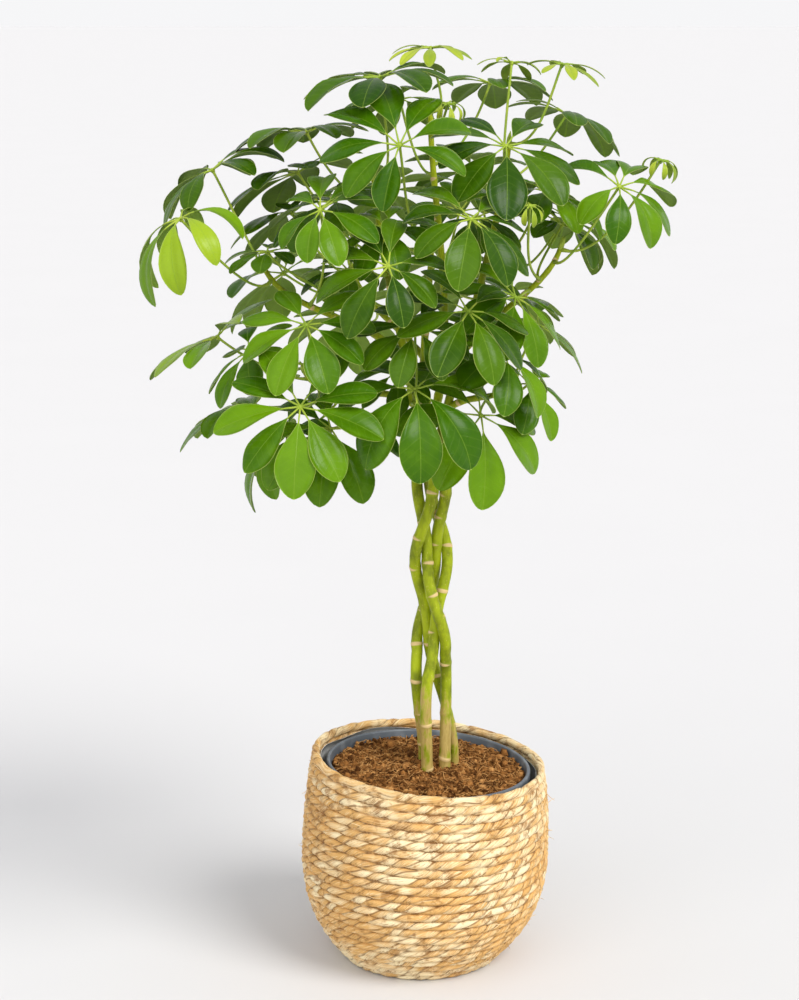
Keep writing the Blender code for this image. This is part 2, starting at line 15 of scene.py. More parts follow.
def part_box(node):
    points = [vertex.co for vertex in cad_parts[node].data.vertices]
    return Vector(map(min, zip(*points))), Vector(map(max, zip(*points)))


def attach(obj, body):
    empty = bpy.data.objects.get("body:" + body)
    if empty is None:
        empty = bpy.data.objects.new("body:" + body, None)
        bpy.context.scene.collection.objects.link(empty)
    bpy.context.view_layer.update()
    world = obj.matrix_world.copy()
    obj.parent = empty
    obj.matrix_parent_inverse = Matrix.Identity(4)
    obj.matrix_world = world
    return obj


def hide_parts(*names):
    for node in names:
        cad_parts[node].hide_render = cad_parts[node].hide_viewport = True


bl_info = {
    "name": "Potted Umbrella Plant",
    "version": (1, 0, 0),
    "blender": (4, 5, 0),
    "location": "3D View > Sidebar > Plant",
    "description": "Makes a braided umbrella plant in a nursery pot inside a straw rope basket",
    "category": "Add Mesh",
}

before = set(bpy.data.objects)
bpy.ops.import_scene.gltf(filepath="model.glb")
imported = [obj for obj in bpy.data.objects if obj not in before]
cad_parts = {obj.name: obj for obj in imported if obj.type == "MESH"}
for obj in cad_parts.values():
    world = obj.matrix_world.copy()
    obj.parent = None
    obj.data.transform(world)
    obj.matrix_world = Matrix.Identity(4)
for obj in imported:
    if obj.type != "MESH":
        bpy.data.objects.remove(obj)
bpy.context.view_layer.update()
FULL_TURN = 2 * math.pi
ANY_PHASE = 6.28             # waves and twists start anywhere in about a turn

# ---------------------------------------------------------------- the frame's own dimensions

BASKET_H = 0.2105
BASKET_BASE_R = 0.080
BASKET_BELLY_R = 0.1275
BASKET_BELLY_Z = 0.112
BASKET_RIM_R = 0.1195
BASKET_WALL = 0.0088
BASE_CURVE = 2.4
RIM_CURVE = 1.8
BASE_SHIFT = 0.008
BASKET_SLOPE = -0.085
POT_SLOPE = -0.060
LINER_T = 0.0006
LINER_BELOW_RIM = 0.004
POT_RIM_Z = 0.2035
POT_BASE_R = 0.069
POT_WALL_R = 0.1005
POT_LIP_R = 0.1045
POT_LIP_H = 0.011
POT_WALL = 0.0015
SOIL_Z = 0.1960
SOIL_HEAP = 0.0050
GAP = 0.0003

BRAID_X = 0.002
BRAID_R = 0.0123
BRAID_SWING = 0.00615
BRAID_PERIOD = 0.1675
BRAID_PHASE_Z = 0.350
BRAID_LOW_SWING = 0.45
BRAID_TURN = math.pi / BRAID_PERIOD
BRAID_Z = (0.310, 0.540)
STEM_FREE_Z = 0.204
STEM_R = 0.0057
SHOOT_R = (0.0046, 0.0026)
BRANCH_R = (0.0037, 0.0024)

# stem: turn, height where it faces +X, foot (x, y), foot radius
STEMS = {
    "stem_front": (1, 0.397, (-0.004, -0.013), 0.0060),
    "stem_right": (-1, 0.302, (0.0145, -0.005), 0.0058),
    "stem_back": (1, 0.400 - BRAID_PERIOD, (0.0245, 0.012), 0.0046),
    "stem_left": (-1, 0.301 + BRAID_PERIOD, (-0.007, 0.012), 0.0056),
}

# shoot: stem, place on the leader where it forks (0 for the leader itself), tip
SHOOTS = {
    "left_top": ("stem_front", 0.0, (-0.055, -0.010, 0.800)),
    "left_high": ("stem_front", 0.30, (-0.160, -0.030, 0.715)),
    "left_mid": ("stem_front", 0.12, (-0.120, -0.070, 0.620)),
    "front": ("stem_left", 0.0, (0.000, -0.060, 0.745)),
    "front_low": ("stem_left", 0.15, (-0.020, -0.100, 0.605)),
    "right_top": ("stem_back", 0.0, (0.075, 0.000, 0.830)),
    "right": ("stem_back", 0.28, (0.125, -0.010, 0.730)),
    "right_low": ("stem_back", 0.10, (0.080, -0.040, 0.605)),
    "top": ("stem_right", 0.0, (0.000, 0.020, 0.860)),
    "back_left": ("stem_right", 0.15, (-0.080, 0.110, 0.700)),
    "back_right": ("stem_right", 0.28, (0.090, 0.100, 0.710)),
}

# leaf: shoot, place on it, hub in cm, way it faces (plan, rise), leaflet mm, leaflets, droop, age
LEAVES = [
    ("right", 1.00, (22, -1, 81.5), (-40, 75), 30, 7, 130, "young"),
    ("top", 0.93, (1.5, -5, 87), (-80, 70), 27, 7, 130, "young"),
    ("right", 0.80, (9, -10, 78), (-80, 65), 22, 7, 130, "young"),
    ("left_mid", 0.85, (-12, -17, 60.5), (-95, 28), 84, 9, 35, "mid"),
    ("front", 0.98, (-3, -10, 83.5), (-92, 42), 82, 8, 50, "mid"),
    ("front_low", 0.85, (-1.5, -16.5, 62.5), (-85, 48), 92, 7, 78, "mid"),
    ("left_mid", 0.98, (-11.5, -14, 67.5), (-100, 38), 72, 8, 45, "mid"),
    ("right", 0.90, (17, -5, 78.5), (-60, 52), 84, 8, 75, "mid"),
    ("right_top", 0.80, (7, -6.5, 84), (-75, 55), 80, 9, 50, "old"),
    ("left_high", 0.90, (-23.5, -7, 76.5), (-160, 60), 94, 7, 115, "mid"),
    ("front", 0.62, (-4, -15, 73), (-95, 40), 72, 8, 55, "old"),
    ("front", 0.82, (3.5, -12.5, 77), (-70, 50), 76, 8, 60, "old"),
    ("front_low", 0.97, (-1.5, -13.5, 68), (-80, 48), 62, 8, 60, "old"),
    ("right_low", 0.60, (4.5, -10, 58), (-65, 30), 86, 7, 55, "mid"),
    ("front", 0.45, (2.5, -10.5, 67.5), (-60, 45), 74, 8, 50, "old"),
    ("left_high", 0.99, (-20.5, 0, 79.5), (-170, 62), 82, 8, 70, "old"),
    ("front", 0.93, (-6.5, -12, 77.5), (-110, 50), 66, 8, 60, "mid"),
    ("left_high", 0.62, (-10.5, -10, 76), (-115, 48), 66, 8, 60, "mid"),
    ("left_mid", 0.93, (-20.5, -4.5, 65), (175, 55), 78, 7, 35, "mid"),
    ("left_mid", 0.75, (-17, -10, 64.5), (-150, 45), 66, 7, 50, "mid"),
    ("top", 1.00, (0, 2, 92), (-90, 84), 46, 9, 55, "young"),
    ("right_top", 1.00, (12.5, 0, 90.5), (-30, 78), 44, 7, 50, "young"),
    ("right_top", 0.92, (8, 6, 90.5), (60, 75), 38, 7, 60, "young"),
    ("left_top", 0.90, (-12, 2, 84), (170, 65), 80, 8, 50, "old"),
    ("left_top", 0.70, (-13, 4, 80), (150, 66), 84, 8, 45, "old"),
    ("left_top", 0.99, (-5, -2, 87), (-130, 72), 82, 8, 50, "old"),
    ("top", 0.80, (-3, 6, 87), (110, 68), 64, 7, 55, "old"),
    ("right_low", 0.90, (7, -10, 65.5), (-35, 45), 76, 8, 60, "mid"),
    ("right", 0.62, (8, -6, 69), (-45, 48), 76, 8, 60, "mid"),
    ("right_low", 0.99, (11, 0, 66.5), (-10, 60), 80, 6, 45, "mid"),
    ("left_mid", 0.60, (-14, -5, 55.5), (-165, 40), 80, 7, 70, "mid"),
    ("left_mid", 0.45, (-9.5, -9.5, 57), (-85, 35), 84, 8, 60, "mid"),
    ("left_mid", 0.70, (-18, 2, 57.5), (170, 55), 86, 7, 40, "mid"),
    ("right_top", 0.88, (13.5, 6, 85.5), (20, 62), 72, 8, 55, "old"),
    ("left_top", 0.62, (-8.5, -4, 77), (-150, 68), 78, 8, 45, "old"),
    ("left_high", 0.70, (-14, -4, 71.5), (-150, 62), 68, 7, 50, "old"),
    ("right_top", 0.60, (11, 0, 78.5), (-20, 55), 80, 8, 70, "mid"),
    ("right_top", 0.50, (4.5, -2, 74), (-80, 60), 64, 7, 60, "old"),
    ("top", 0.90, (5, 9, 87), (60, 70), 72, 8, 50, "old"),
    ("left_top", 0.50, (-8, -1, 71), (-120, 50), 72, 8, 55, "old"),
    ("right", 0.72, (13, 3, 75), (-10, 60), 72, 8, 70, "old"),
    ("right_low", 0.70, (9.5, -5, 60.5), (-40, 50), 60, 6, 55, "mid"),
    ("back_left", 0.95, (-16.5, 10, 78), (140, 62), 74, 8, 50, "old"),
    ("back_left", 0.80, (-15, 13, 69), (140, 45), 80, 8, 55, "mid"),
    ("back_left", 0.65, (-8, 18, 64), (100, 35), 78, 8, 50, "mid"),
    ("back_left", 0.99, (-5, 16, 77), (100, 52), 78, 8, 50, "mid"),
    ("back_right", 0.90, (14, 11, 75), (35, 50), 76, 8, 55, "mid"),
    ("back_right", 0.70, (8, 17, 66), (70, 38), 78, 8, 50, "mid"),
    ("back_right", 0.99, (5, 16, 79), (80, 55), 76, 8, 50, "mid"),
    ("back_right", 0.50, (2, 16, 69), (90, 40), 72, 7, 55, "old"),
    ("left_top", 0.35, (-4, -8, 63), (-95, 40), 74, 8, 55, "old"),
    ("top", 0.55, (3, 6, 76), (-70, 55), 66, 8, 60, "old"),
]

LEAF_T = 0.0010
HUB_R = 0.0030
SEAT = 0.00035
RISE = math.radians(14)
BELLY_AT = 0.64
BELLY_HALF = 0.225
TIP_HALF = 0.35
INNER_SHORT = 0.24
SAG_DOWN = 0.5
VARY = {"turn": math.radians(6), "rise": math.radians(10), "bend": 0.22, "length": 0.08}

# What a leaf may have done to clear its neighbours: shrunk, reached out, tilted, spun, slid down
SIZES = (1.0, 0.92, 0.84, 0.76, 0.68)
REACHES = (0.0, 0.012, -0.012, 0.024, -0.024, 0.036, -0.036)
TILTS = (0.0, 9.0, -9.0, 18.0, -18.0)
SPINS = (0.0, 8.0, -8.0, 16.0, -16.0)
SLIDES = (0.0, -0.07, -0.14, -0.21)
EFFORTS = (12.5, 83.0, 0.08, 0.05, 7.0)  # weight of each such change, the least effort first
BOX_MATCH = 0.00025          # a leaf's predicted box lies this near the frame's

# ---------------------------------------------------------------- detail

# Straw rope: two strands laid round each other, coiled up the wall
ROPE_SIDES = 16
ROPE_STEP = 0.0030
ROPE_HALF_HEIGHT = 0.0049
ROPE_HALF_DEPTH = 0.0044
STRAND_R = 0.80              # a strand's radius and its offset, as shares of the rope's half height
STRAND_OFF = 0.20
ROPE_LIFT = 0.0008           # how far a turn wanders up and down, and in and out
ROPE_SWAY = 0.0005
ROPE_SWELL = 0.10
CORE_INSET = 0.75            # the wall behind the rope, in rope half depths
CORE_T = 0.0022
CORE_ROWS = 24
CORE_STEPS = 96
BASE_PACKING = 0.92          # turns of the base lie this much closer
STRAY_R = 0.00028
LINER_SLIP = 0.0055          # the sheet's edge has slipped this far down, more or less
LINER_STEPS = 180
LINER_ROWS = 26
POT_STEPS = 120
SOIL_RINGS = 64
SOIL_STEPS = 200
SOIL_EDGE_DIP = 0.0022       # the soil falls away at the pot's wall
RIM_TWIST = 1.8              # the top turn is wrapped this much more loosely

# Blades
BLADE_ROWS = 16
BLADE_COLUMNS = 8
STALK_SHARE = 0.13           # of a leaflet's length, before its blade starts
BLADE_T = 0.00045
BLADE_NARROWEST = 0.035
YOUNG_SLIM = 0.62            # a young blade's width as a share of a grown one's
PETIOLULE_R = (0.0010, 0.0007)
PETIOLE_R = 0.00125
PETIOLE_FOOT = 0.0013        # the foot is this much stouter
PETIOLE_STEPS = 16
FOOT_SUNK = 0.0016           # the petiole's foot reaches this far into its scar

# By leaf number: how much paler or darker than its age alone makes it (a tint that lifts the tone above one
# brings in the sunlit colour, painted light), and how slim its blades are
LEAF_TINTS = {10: 1.1, 19: 0.5, 5: -0.2, 6: -0.2, 9: -0.3, 33: 0.4}
LEAF_SLIMS = {10: 0.66, 1: 0.55, 2: 0.55, 3: 0.55}

STEM_STEP = 0.0016
STEM_SIDES = 18
STEM_BELOW_SOIL = 0.012
NODE_SWELLING = 0.09
NODE_HALF = 0.0035           # the swelling fades over this far
SCAR_THIN = 0.0007           # half height of a leaf scar at its horns, and how much more in its middle
SCAR_MORE = 0.0009
OLD_BELOW = 0.215            # bark is old below this height, and higher on the two front stems
OLD_BELOW_FRONT = 0.235
OLD_FADE = 0.16


def seeded(*key):
    """Random numbers that depend only on what they are for."""
    return Random("-".join(str(part) for part in key))


def mixed(low, high, share):
    return low + (high - low) * share


def smooth(share):
    share = min(max(share, 0.0), 1.0)
    return share * share * (3 - 2 * share)


def wobble(*place):
    """Smooth noise between about -1 and 1."""
    return noise.noise(Vector(place))


def ring_wobble(angle, waves, *place):
    """Smooth noise round a ring, which meets itself after a full turn."""
    height, seed = (*place, 0.0)[:2]
    return wobble(math.cos(angle) * waves, math.sin(angle) * waves + seed, height)


# ---------------------------------------------------------------- shader maths

class Wire:
    """A value in a material, so that a formula on it adds the Math nodes it needs."""

    def __init__(self, graph, socket):
        self.graph = graph
        self.socket = socket

    def __add__(self, other):
        return self.graph.maths("ADD", self, other)

    __radd__ = __add__

    def __mul__(self, other):
        return self.graph.maths("MULTIPLY", self, other)

    __rmul__ = __mul__

    def __sub__(self, other):
        return self.graph.maths("SUBTRACT", self, other)

    def __rsub__(self, other):
        return self.graph.maths("SUBTRACT", other, self)

    def __abs__(self):
        return self.graph.maths("ABSOLUTE", self)

    def sine(self):
        return self.graph.maths("SINE", self)

    def between(self, low, high):
        """0 at low and 1 at high, with a soft start and end."""
        sockets = {"Value": self, "From Min": low, "From Max": high}
        return self.graph.node("ShaderNodeMapRange", {"interpolation_type": "SMOOTHSTEP"}, sockets)


class Graph:
    """The nodes of a material or a world, added by formulas."""

    def __init__(self, owner):
        self.owner = owner
        owner.use_nodes = True
        self.tree = owner.node_tree
        self.tree.nodes.clear()

    def node(self, kind, settings=None, sockets=None, output=0):
        """Add a node: its settings first, then the values or links of its sockets."""
        node = self.tree.nodes.new(kind)
        for name, value in (settings or {}).items():
            setattr(node, name, value)
        for name, value in (sockets or {}).items():
            self.plug(node.inputs[name], value)
        return Wire(self, node.outputs[output]) if node.outputs else node

    def plug(self, socket, value):
        if isinstance(value, Wire):
            self.tree.links.new(value.socket, socket)
        elif socket.type == "RGBA":
            socket.default_value = (*value, 1.0)
        else:
            socket.default_value = value

    def maths(self, operation, *values):
        return self.node("ShaderNodeMath", {"operation": operation}, dict(enumerate(values)))

    def mix(self, share, start, end):
        """One colour turning into another."""
        settings = {"data_type": "RGBA", "clamp_factor": True}
        return self.node("ShaderNodeMix", settings, {0: share, 6: start, 7: end}, output=2)

    def place(self):
        """Where a point lies on the object, in metres."""
        return self.node("ShaderNodeTexCoord", output=3)

    def stretched(self, vector, factors):
        return self.node("ShaderNodeVectorMath", {"operation": "MULTIPLY"}, {0: vector, 1: factors})

    def joined(self, vector, other):
        return self.node("ShaderNodeVectorMath", {"operation": "ADD"}, {0: vector, 1: other})

    def value(self, name):
        """A number kept on the mesh's points."""
        settings = {"attribute_type": "GEOMETRY", "attribute_name": name}
        return self.node("ShaderNodeAttribute", settings, output=2)

    def direction(self, name):
        """A vector kept on the mesh's points."""
        settings = {"attribute_type": "GEOMETRY", "attribute_name": name}
        return self.node("ShaderNodeAttribute", settings, output=1)

    def grain(self, vector, scale, detail=2.0, rough=0.5):
        """Noise from 0 to 1."""
        sockets = {"Vector": vector, "Scale": scale, "Detail": detail, "Roughness": rough}
        return self.node("ShaderNodeTexNoise", {}, sockets)

    def cells(self, vector, scale):
        """Distance to the nearest of scattered points."""
        return self.node("ShaderNodeTexVoronoi", {}, {"Vector": vector, "Scale": scale})

    def bump(self, height, strength, depth):
        sockets = {"Strength": strength, "Distance": depth, "Height": height}
        return self.node("ShaderNodeBump", {}, sockets)

    def finish(self, through=None, through_share=0.0, **sockets):
        """Close the material with a Principled shader, and let some light through it."""
        named = {name.replace("_", " ").title().replace("Ior", "IOR"): value
                 for name, value in sockets.items()}
        surface = self.node("ShaderNodeBsdfPrincipled", {}, named)
        if through is not None:
            glow = self.node("ShaderNodeBsdfTranslucent", {}, {"Color": through})
            surface = self.node("ShaderNodeMixShader", {}, {0: through_share, 1: surface, 2: glow})
        self.node("ShaderNodeOutputMaterial", {}, {"Surface": surface})
        return self.owner


def surface_graph(name):
    return Graph(bpy.data.materials.new(name))


# ---------------------------------------------------------------- mesh building

class Shape:
    """Points, faces and values on the points, gathered for one mesh."""

    def __init__(self, *values):
        self.points = []
        self.faces = []
        self.slots = []
        self.values = {name: [] for name in values}

    def add(self, points, faces, slot=0, **values):
        first = len(self.points)
        self.points += points
        self.faces += [[first + corner for corner in face] for face in faces]
        self.slots += [slot] * len(faces)
        for name, column in self.values.items():
            given = values.get(name, 0.0)
            column += given if isinstance(given, list) else [given] * len(points)

    def build(self, name, materials):
        mesh = bpy.data.meshes.new(name)
        mesh.from_pydata(self.points, [], self.faces)
        for material in materials:
            mesh.materials.append(material)
        mesh.polygons.foreach_set("material_index", self.slots)
        for label, column in self.values.items():
            self.store(mesh, label, column)
        mesh.shade_smooth()
        mesh.update()
        piece = bpy.data.objects.new(name, mesh)
        bpy.context.scene.collection.objects.link(piece)
        return piece

    def store(self, mesh, label, column):
        if isinstance(column[0], tuple):
            layer = mesh.attributes.new(label, "FLOAT_VECTOR", "POINT")
            layer.data.foreach_set("vector", [part for value in column for part in value])
        else:
            layer = mesh.attributes.new(label, "FLOAT", "POINT")
            layer.data.foreach_set("value", column)


def seat(piece, node):
    """Put a piece in a frame node's place."""
    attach(piece, "root")
    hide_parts(node)
    return piece


def net(rows, columns, loop=False, ring=False):
    """Faces over a net of points; loop joins the last column to the first, ring the last row."""
    faces = []
    for row in range(rows if ring else rows - 1):
        below = (row + 1) % rows
        for column in range(columns if loop else columns - 1):
            beside = (column + 1) % columns
            faces.append([row * columns + column, row * columns + beside,
                          below * columns + beside, below * columns + column])
    return faces


def frames_along(points):
    """A side and an up direction at each point of a line, turning as little as they can."""
    frames = []
    side = None
    for i in range(len(points)):
        ahead = points[min(i + 1, len(points) - 1)] - points[max(i - 1, 0)]
        ahead.normalize()
        if side is None:
            side = ahead.orthogonal()
        side = (side - ahead * side.dot(ahead)).normalized()
        frames.append((side, ahead.cross(side)))
    return frames


def tube(points, radii, sides):
    """A round tube with rounded-off ends."""
    places = []
    for point, radius, (side, up) in zip(points, radii, frames_along(points)):
        for k in range(sides):
            angle = FULL_TURN * k / sides
            places.append(point + (side * math.cos(angle) + up * math.sin(angle)) * radius)
    faces = net(len(points), sides, loop=True)
    last = (len(points) - 1) * sides
    faces.append(list(range(sides - 1, -1, -1)))
    faces.append(list(range(last, last + sides)))
    return places, faces


def turned(profile, steps):
    """A closed section turned about the middle; its first and last points lie on the axis."""
    rim = profile[1:-1]
    places = []
    for k in range(steps):
        angle = FULL_TURN * k / steps
        places += [Vector((r * math.cos(angle), r * math.sin(angle), z)) for r, z in rim]
    faces = net(steps, len(rim), ring=True)
    top, bottom = len(places), len(places) + 1
    places += [Vector((0, 0, profile[0][1])), Vector((0, 0, profile[-1][1]))]
    for k in range(steps):
        one, other = k * len(rim), (k + 1) % steps * len(rim)
        faces.append([other, one, top])
        faces.append([one + len(rim) - 1, other + len(rim) - 1, bottom])
    return places, faces


def leaned(points, slope):
    """Raise the left side towards the rim and shift the foot to the left, as the frame does."""
    places = []
    for x, y, z in points:
        height = z / BASKET_H
        places.append(Vector((x - BASE_SHIFT * (1 - height), y, z + slope * x * height)))
    return places


# ---------------------------------------------------------------- basket

def basket_radius(z):
    """Outer radius of the basket at a height."""
    if z < BASKET_BELLY_Z:
        drop = (BASKET_BELLY_Z - z) / BASKET_BELLY_Z
        return BASKET_BELLY_R - (BASKET_BELLY_R - BASKET_BASE_R) * drop ** BASE_CURVE
    rise = (z - BASKET_BELLY_Z) / (BASKET_H - BASKET_BELLY_Z)
    return BASKET_BELLY_R - (BASKET_BELLY_R - BASKET_RIM_R) * rise ** RIM_CURVE


def rope_rows(pitch):
    """Radius, height and slope of each turn of rope up the wall, evenly spaced along it."""
    fine = 400
    low, high = ROPE_HALF_HEIGHT, BASKET_H - ROPE_HALF_HEIGHT
    line = [(basket_radius(z) - ROPE_HALF_DEPTH, z)
            for z in (mixed(low, high, i / fine) for i in range(fine + 1))]
    lengths = [0.0]
    for before, after in zip(line, line[1:]):
        lengths.append(lengths[-1] + math.dist(before, after))
    count = round(lengths[-1] / pitch)
    rows = []
    for k in range(count + 1):
        reach = lengths[-1] * k / count
        i = min(range(len(lengths)), key=lambda index: abs(lengths[index] - reach))
        before, after = line[max(i - 1, 0)], line[min(i + 1, fine)]
        rows.append((*line[i], math.atan2(after[0] - before[0], after[1] - before[1])))
    return rows


def strand_reach(angle):
    """Half width of a two-strand rope in a direction, as a share of its half height."""
    off = STRAND_OFF * abs(math.cos(angle))
    return off + math.sqrt(STRAND_R ** 2 - (STRAND_OFF * math.sin(angle)) ** 2)


def lay_rope(shape, radius, height, slope, twist_pitch, row):
    """One closed turn of rope round the basket."""
    rng = seeded("rope", row)
    length = FULL_TURN * radius
    steps = max(24, round(length / ROPE_STEP))
    turns = max(1, round(length / twist_pitch))
    phase = rng.uniform(0, math.pi)
    slack = [(rng.uniform(0.3, 0.8), n, rng.uniform(0, ANY_PHASE)) for n in (2, 5, 9, 17)]
    tones = (rng.uniform(0, 1), rng.uniform(0, 1))
    points, sections, groove_shades, shades = [], [], [], []
    for i in range(steps):
        round_at = FULL_TURN * i / steps
        out = Vector((math.cos(round_at), math.sin(round_at), 0))
        spin = phase + turns * round_at + sum(a * math.sin(n * round_at + b) for a, n, b in slack)
        lift = ROPE_LIFT * ring_wobble(round_at, 2.3, row * 3.7, 1.5)
        swell = 1 + ROPE_SWELL * ring_wobble(round_at, 5.1, row * 1.9, 7.5)
        centre = out * (radius + ROPE_SWAY * ring_wobble(round_at, 3.1, row * 2.3, 4.5))
        centre += Vector((0, 0, height + lift))
        for k in range(ROPE_SIDES):
            section = FULL_TURN * k / ROPE_SIDES
            reach = strand_reach(section) * swell
            across = reach * ROPE_HALF_DEPTH * math.cos(section + spin)
            up = reach * ROPE_HALF_HEIGHT * math.sin(section + spin)
            outward = across * math.cos(slope) + up * math.sin(slope)
            upward = up * math.cos(slope) - across * math.sin(slope)
            place = centre + out * outward + Vector((0, 0, upward))
            place.z = max(place.z, 0.0)
            points.append(place)
            strand = 0 if math.cos(section) > 0 else 1
            sections.append((math.cos(section), math.sin(section), row * 0.37))
            # Painted shade: how deep each point lies in the groove between the two strands, where the straw's
            # colour is darkened
            groove_shades.append(abs(math.sin(section)) ** 9)
            shades.append(tones[strand] + 0.8 * ring_wobble(round_at, 9.0, row * 0.7, strand * 25.0))
    shape.add(points, net(steps, ROPE_SIDES, loop=True, ring=True), section=sections,
              groove=groove_shades, tone=shades)


def lay_core(shape):
    """The wall between the turns of rope, so that no light shows through; it takes the full groove shade,
    painted dark.
    """
    low, high = 0.004, BASKET_H - 0.004
    heights = [mixed(low, high, i / CORE_ROWS) for i in range(CORE_ROWS + 1)]
    outer = [(basket_radius(z) - ROPE_HALF_DEPTH * CORE_INSET, z) for z in heights]
    loop = outer + [(r - CORE_T, z) for r, z in reversed(outer)]
    points = []
    for k in range(CORE_STEPS):
        angle = FULL_TURN * k / CORE_STEPS
        points += [Vector((r * math.cos(angle), r * math.sin(angle), z)) for r, z in loop]
    shape.add(points, net(CORE_STEPS, len(loop), loop=True, ring=True),
              section=(1.0, 0.0, 0.0), groove=1.0, tone=0.5)


def straw_finish(look):
    graph = surface_graph("straw_rope")
    place = graph.place()
    section = graph.direction("section")
    along = graph.joined(graph.stretched(section, (6.5, 6.5, 9.0)), graph.stretched(place, (30, 30, 30)))
    streak = graph.grain(along, 1.0, 5.0, 0.65)
    wrap = graph.joined(graph.stretched(section, (4.2, 4.2, 6.0)), graph.stretched(place, (75, 75, 75)))
    fibre = graph.grain(wrap, 1.0, 4.0, 0.65)
    patch = graph.grain(place, 16.0, 3.0)
    stain = graph.grain(place, 70.0, 4.0, 0.65).between(0.52, 0.64)
    gap = graph.grain(place, 110.0, 2.0).between(0.36, 0.60)
    groove = graph.value("groove")
    warmth = (patch * 1.1 + graph.value("tone") * 0.40 + streak * 0.7).between(0.82, 1.26)
    colour = graph.mix(warmth, look.straw_pale, look.straw_warm)
    colour = graph.mix(fibre.between(0.53, 0.66) * 0.62, colour, look.straw_brown)
    colour = graph.mix(fibre.between(0.46, 0.34) * 0.70, colour, look.straw_pale)
    colour = graph.mix(stain * streak.between(0.34, 0.56) * 0.90, colour, look.straw_brown)
    # Painted shade: the grooves between the strands, and the wall behind the rope, darken towards the groove
    # shade colour; the gap noise only makes this painted shade patchy
    colour = graph.mix(groove.between(0.45, 1.0) * (gap * 0.60 + 0.30), colour, look.straw_dark)
    height = streak * 0.8 + fibre * 0.5
    return graph.finish(base_color=colour, roughness=streak * 0.2 + 0.50, specular_ior_level=0.35,
                        normal=graph.bump(height, 0.7, 0.0011))


def add_strays(shape, count):
    """Loose straw ends that stand out of the rope."""
    rng = seeded("strays")
    for _ in range(count):
        z = rng.uniform(0.012, BASKET_H - 0.006)
        angle = rng.uniform(0, FULL_TURN)
        out = Vector((math.cos(angle), math.sin(angle), 0))
        way = Vector((-math.sin(angle), math.cos(angle), rng.uniform(-0.7, 0.7))).normalized()
        way *= rng.choice((-1, 1))
        length = rng.uniform(0.005, 0.016)
        start = out * (basket_radius(z) - 0.0025) + Vector((0, 0, z))
        lift = rng.uniform(0.15, 0.55)
        line = [start + way * length * t + out * length * lift * t * t + out * 0.0015 * t
                for t in (0.0, 0.35, 0.7, 1.0)]
        points, faces = tube(line, [STRAY_R, STRAY_R * 1.2, STRAY_R, STRAY_R * 0.4], 5)
        shape.add(points, faces, section=(1.0, 0.0, 0.0), groove=0.0, tone=rng.uniform(0, 0.6))


def make_basket(look):
    """Three pieces: the lower and the upper rows of the wall, and the coiled base."""
    finish = straw_finish(look)
    rows = rope_rows(look.rope_pitch)
    half = len(rows) // 2
    for name, part in (("basket_lower_wall", rows[:half]), ("basket_upper_wall", rows[half:])):
        shape = Shape("section", "groove", "tone")
        for radius, height, slope in part:
            loose = RIM_TWIST if height == rows[-1][1] else 1.0
            lay_rope(shape, radius, height, slope, look.twist_pitch * loose, round(height * 10000))
        if part[0] is rows[0]:
            lay_core(shape)
        else:
            add_strays(shape, look.stray_ends)
        shape.points = leaned(shape.points, BASKET_SLOPE)
        seat(shape.build(name, [finish]), "basket")
    shape = Shape("section", "groove", "tone")
    step = look.rope_pitch * BASE_PACKING
    radius = BASKET_BASE_R - ROPE_HALF_DEPTH - step
    while radius > 0.005:
        lay_rope(shape, radius, ROPE_HALF_HEIGHT, 0.0, look.twist_pitch, round(radius * 100000))
        radius -= step
    shape.points = leaned(shape.points, BASKET_SLOPE)
    seat(shape.build("basket_base", [finish]), "basket")


# ---------------------------------------------------------------- liner, pot and soil

def pot_floor():
    return BASKET_WALL + LINER_T + 2 * GAP


def pot_wall(z):
    """Outer radius of the pot's wall at a height."""
    share = (z - pot_floor()) / (POT_RIM_Z - POT_LIP_H - pot_floor())
    return POT_BASE_R + (POT_WALL_R - POT_BASE_R) * share


def liner_finish(look):
    graph = surface_graph("liner_sheet")
    place = graph.place()
    cloud = graph.grain(place, 30.0, 3.0)
    crease = graph.grain(graph.stretched(place, (1, 1, 0.35)), 120.0, 3.0, 0.65)
    colour = graph.mix(cloud, look.liner_shade, look.liner_colour)
    return graph.finish(base_color=colour, roughness=crease * 0.3 + 0.22,
                        normal=graph.bump(crease, 0.6, 0.0012))


def make_liner(look):
    """A thin crinkled sheet between the pot and the basket, with a loose upper edge."""
    steps, rows = LINER_STEPS, LINER_ROWS
    low = BASKET_WALL + GAP
    inset = BASKET_WALL + 3 * GAP
    faces = []
    skins = []
    for thick in (0.0, LINER_T):
        points = []
        for k in range(steps):
            angle = FULL_TURN * k / steps
            top = BASKET_H - LINER_BELOW_RIM - LINER_SLIP * (1 + ring_wobble(angle, 1.7, 3.1))
            for i in range(rows + 1):
                z = mixed(low + 0.002, top, i / rows)
                fold = 0.0011 * abs(ring_wobble(angle, 9.0, z * 60))
                fold += 0.0009 * abs(ring_wobble(angle, 23.0, z * 25))
                r = basket_radius(z) - inset - thick - fold * smooth(z / 0.05)
                points.append(Vector((r * math.cos(angle), r * math.sin(angle), z)))
        skins.append(points)
    columns = rows + 1
    count = steps * columns
    faces += net(steps, columns, ring=True)
    faces += [[count + corner for corner in reversed(face)] for face in net(steps, columns, ring=True)]
    for k in range(steps):
        here, there = k * columns, (k + 1) % steps * columns
        faces.append([here + rows, there + rows, count + there + rows, count + here + rows])
    points = skins[0] + skins[1]
    shape = Shape()
    shape.add(points, faces + liner_floor(points, steps, columns, count, low))
    shape.points = leaned(shape.points, BASKET_SLOPE)
    seat(shape.build("liner_sheet", [liner_finish(look)]), "plastic_liner")


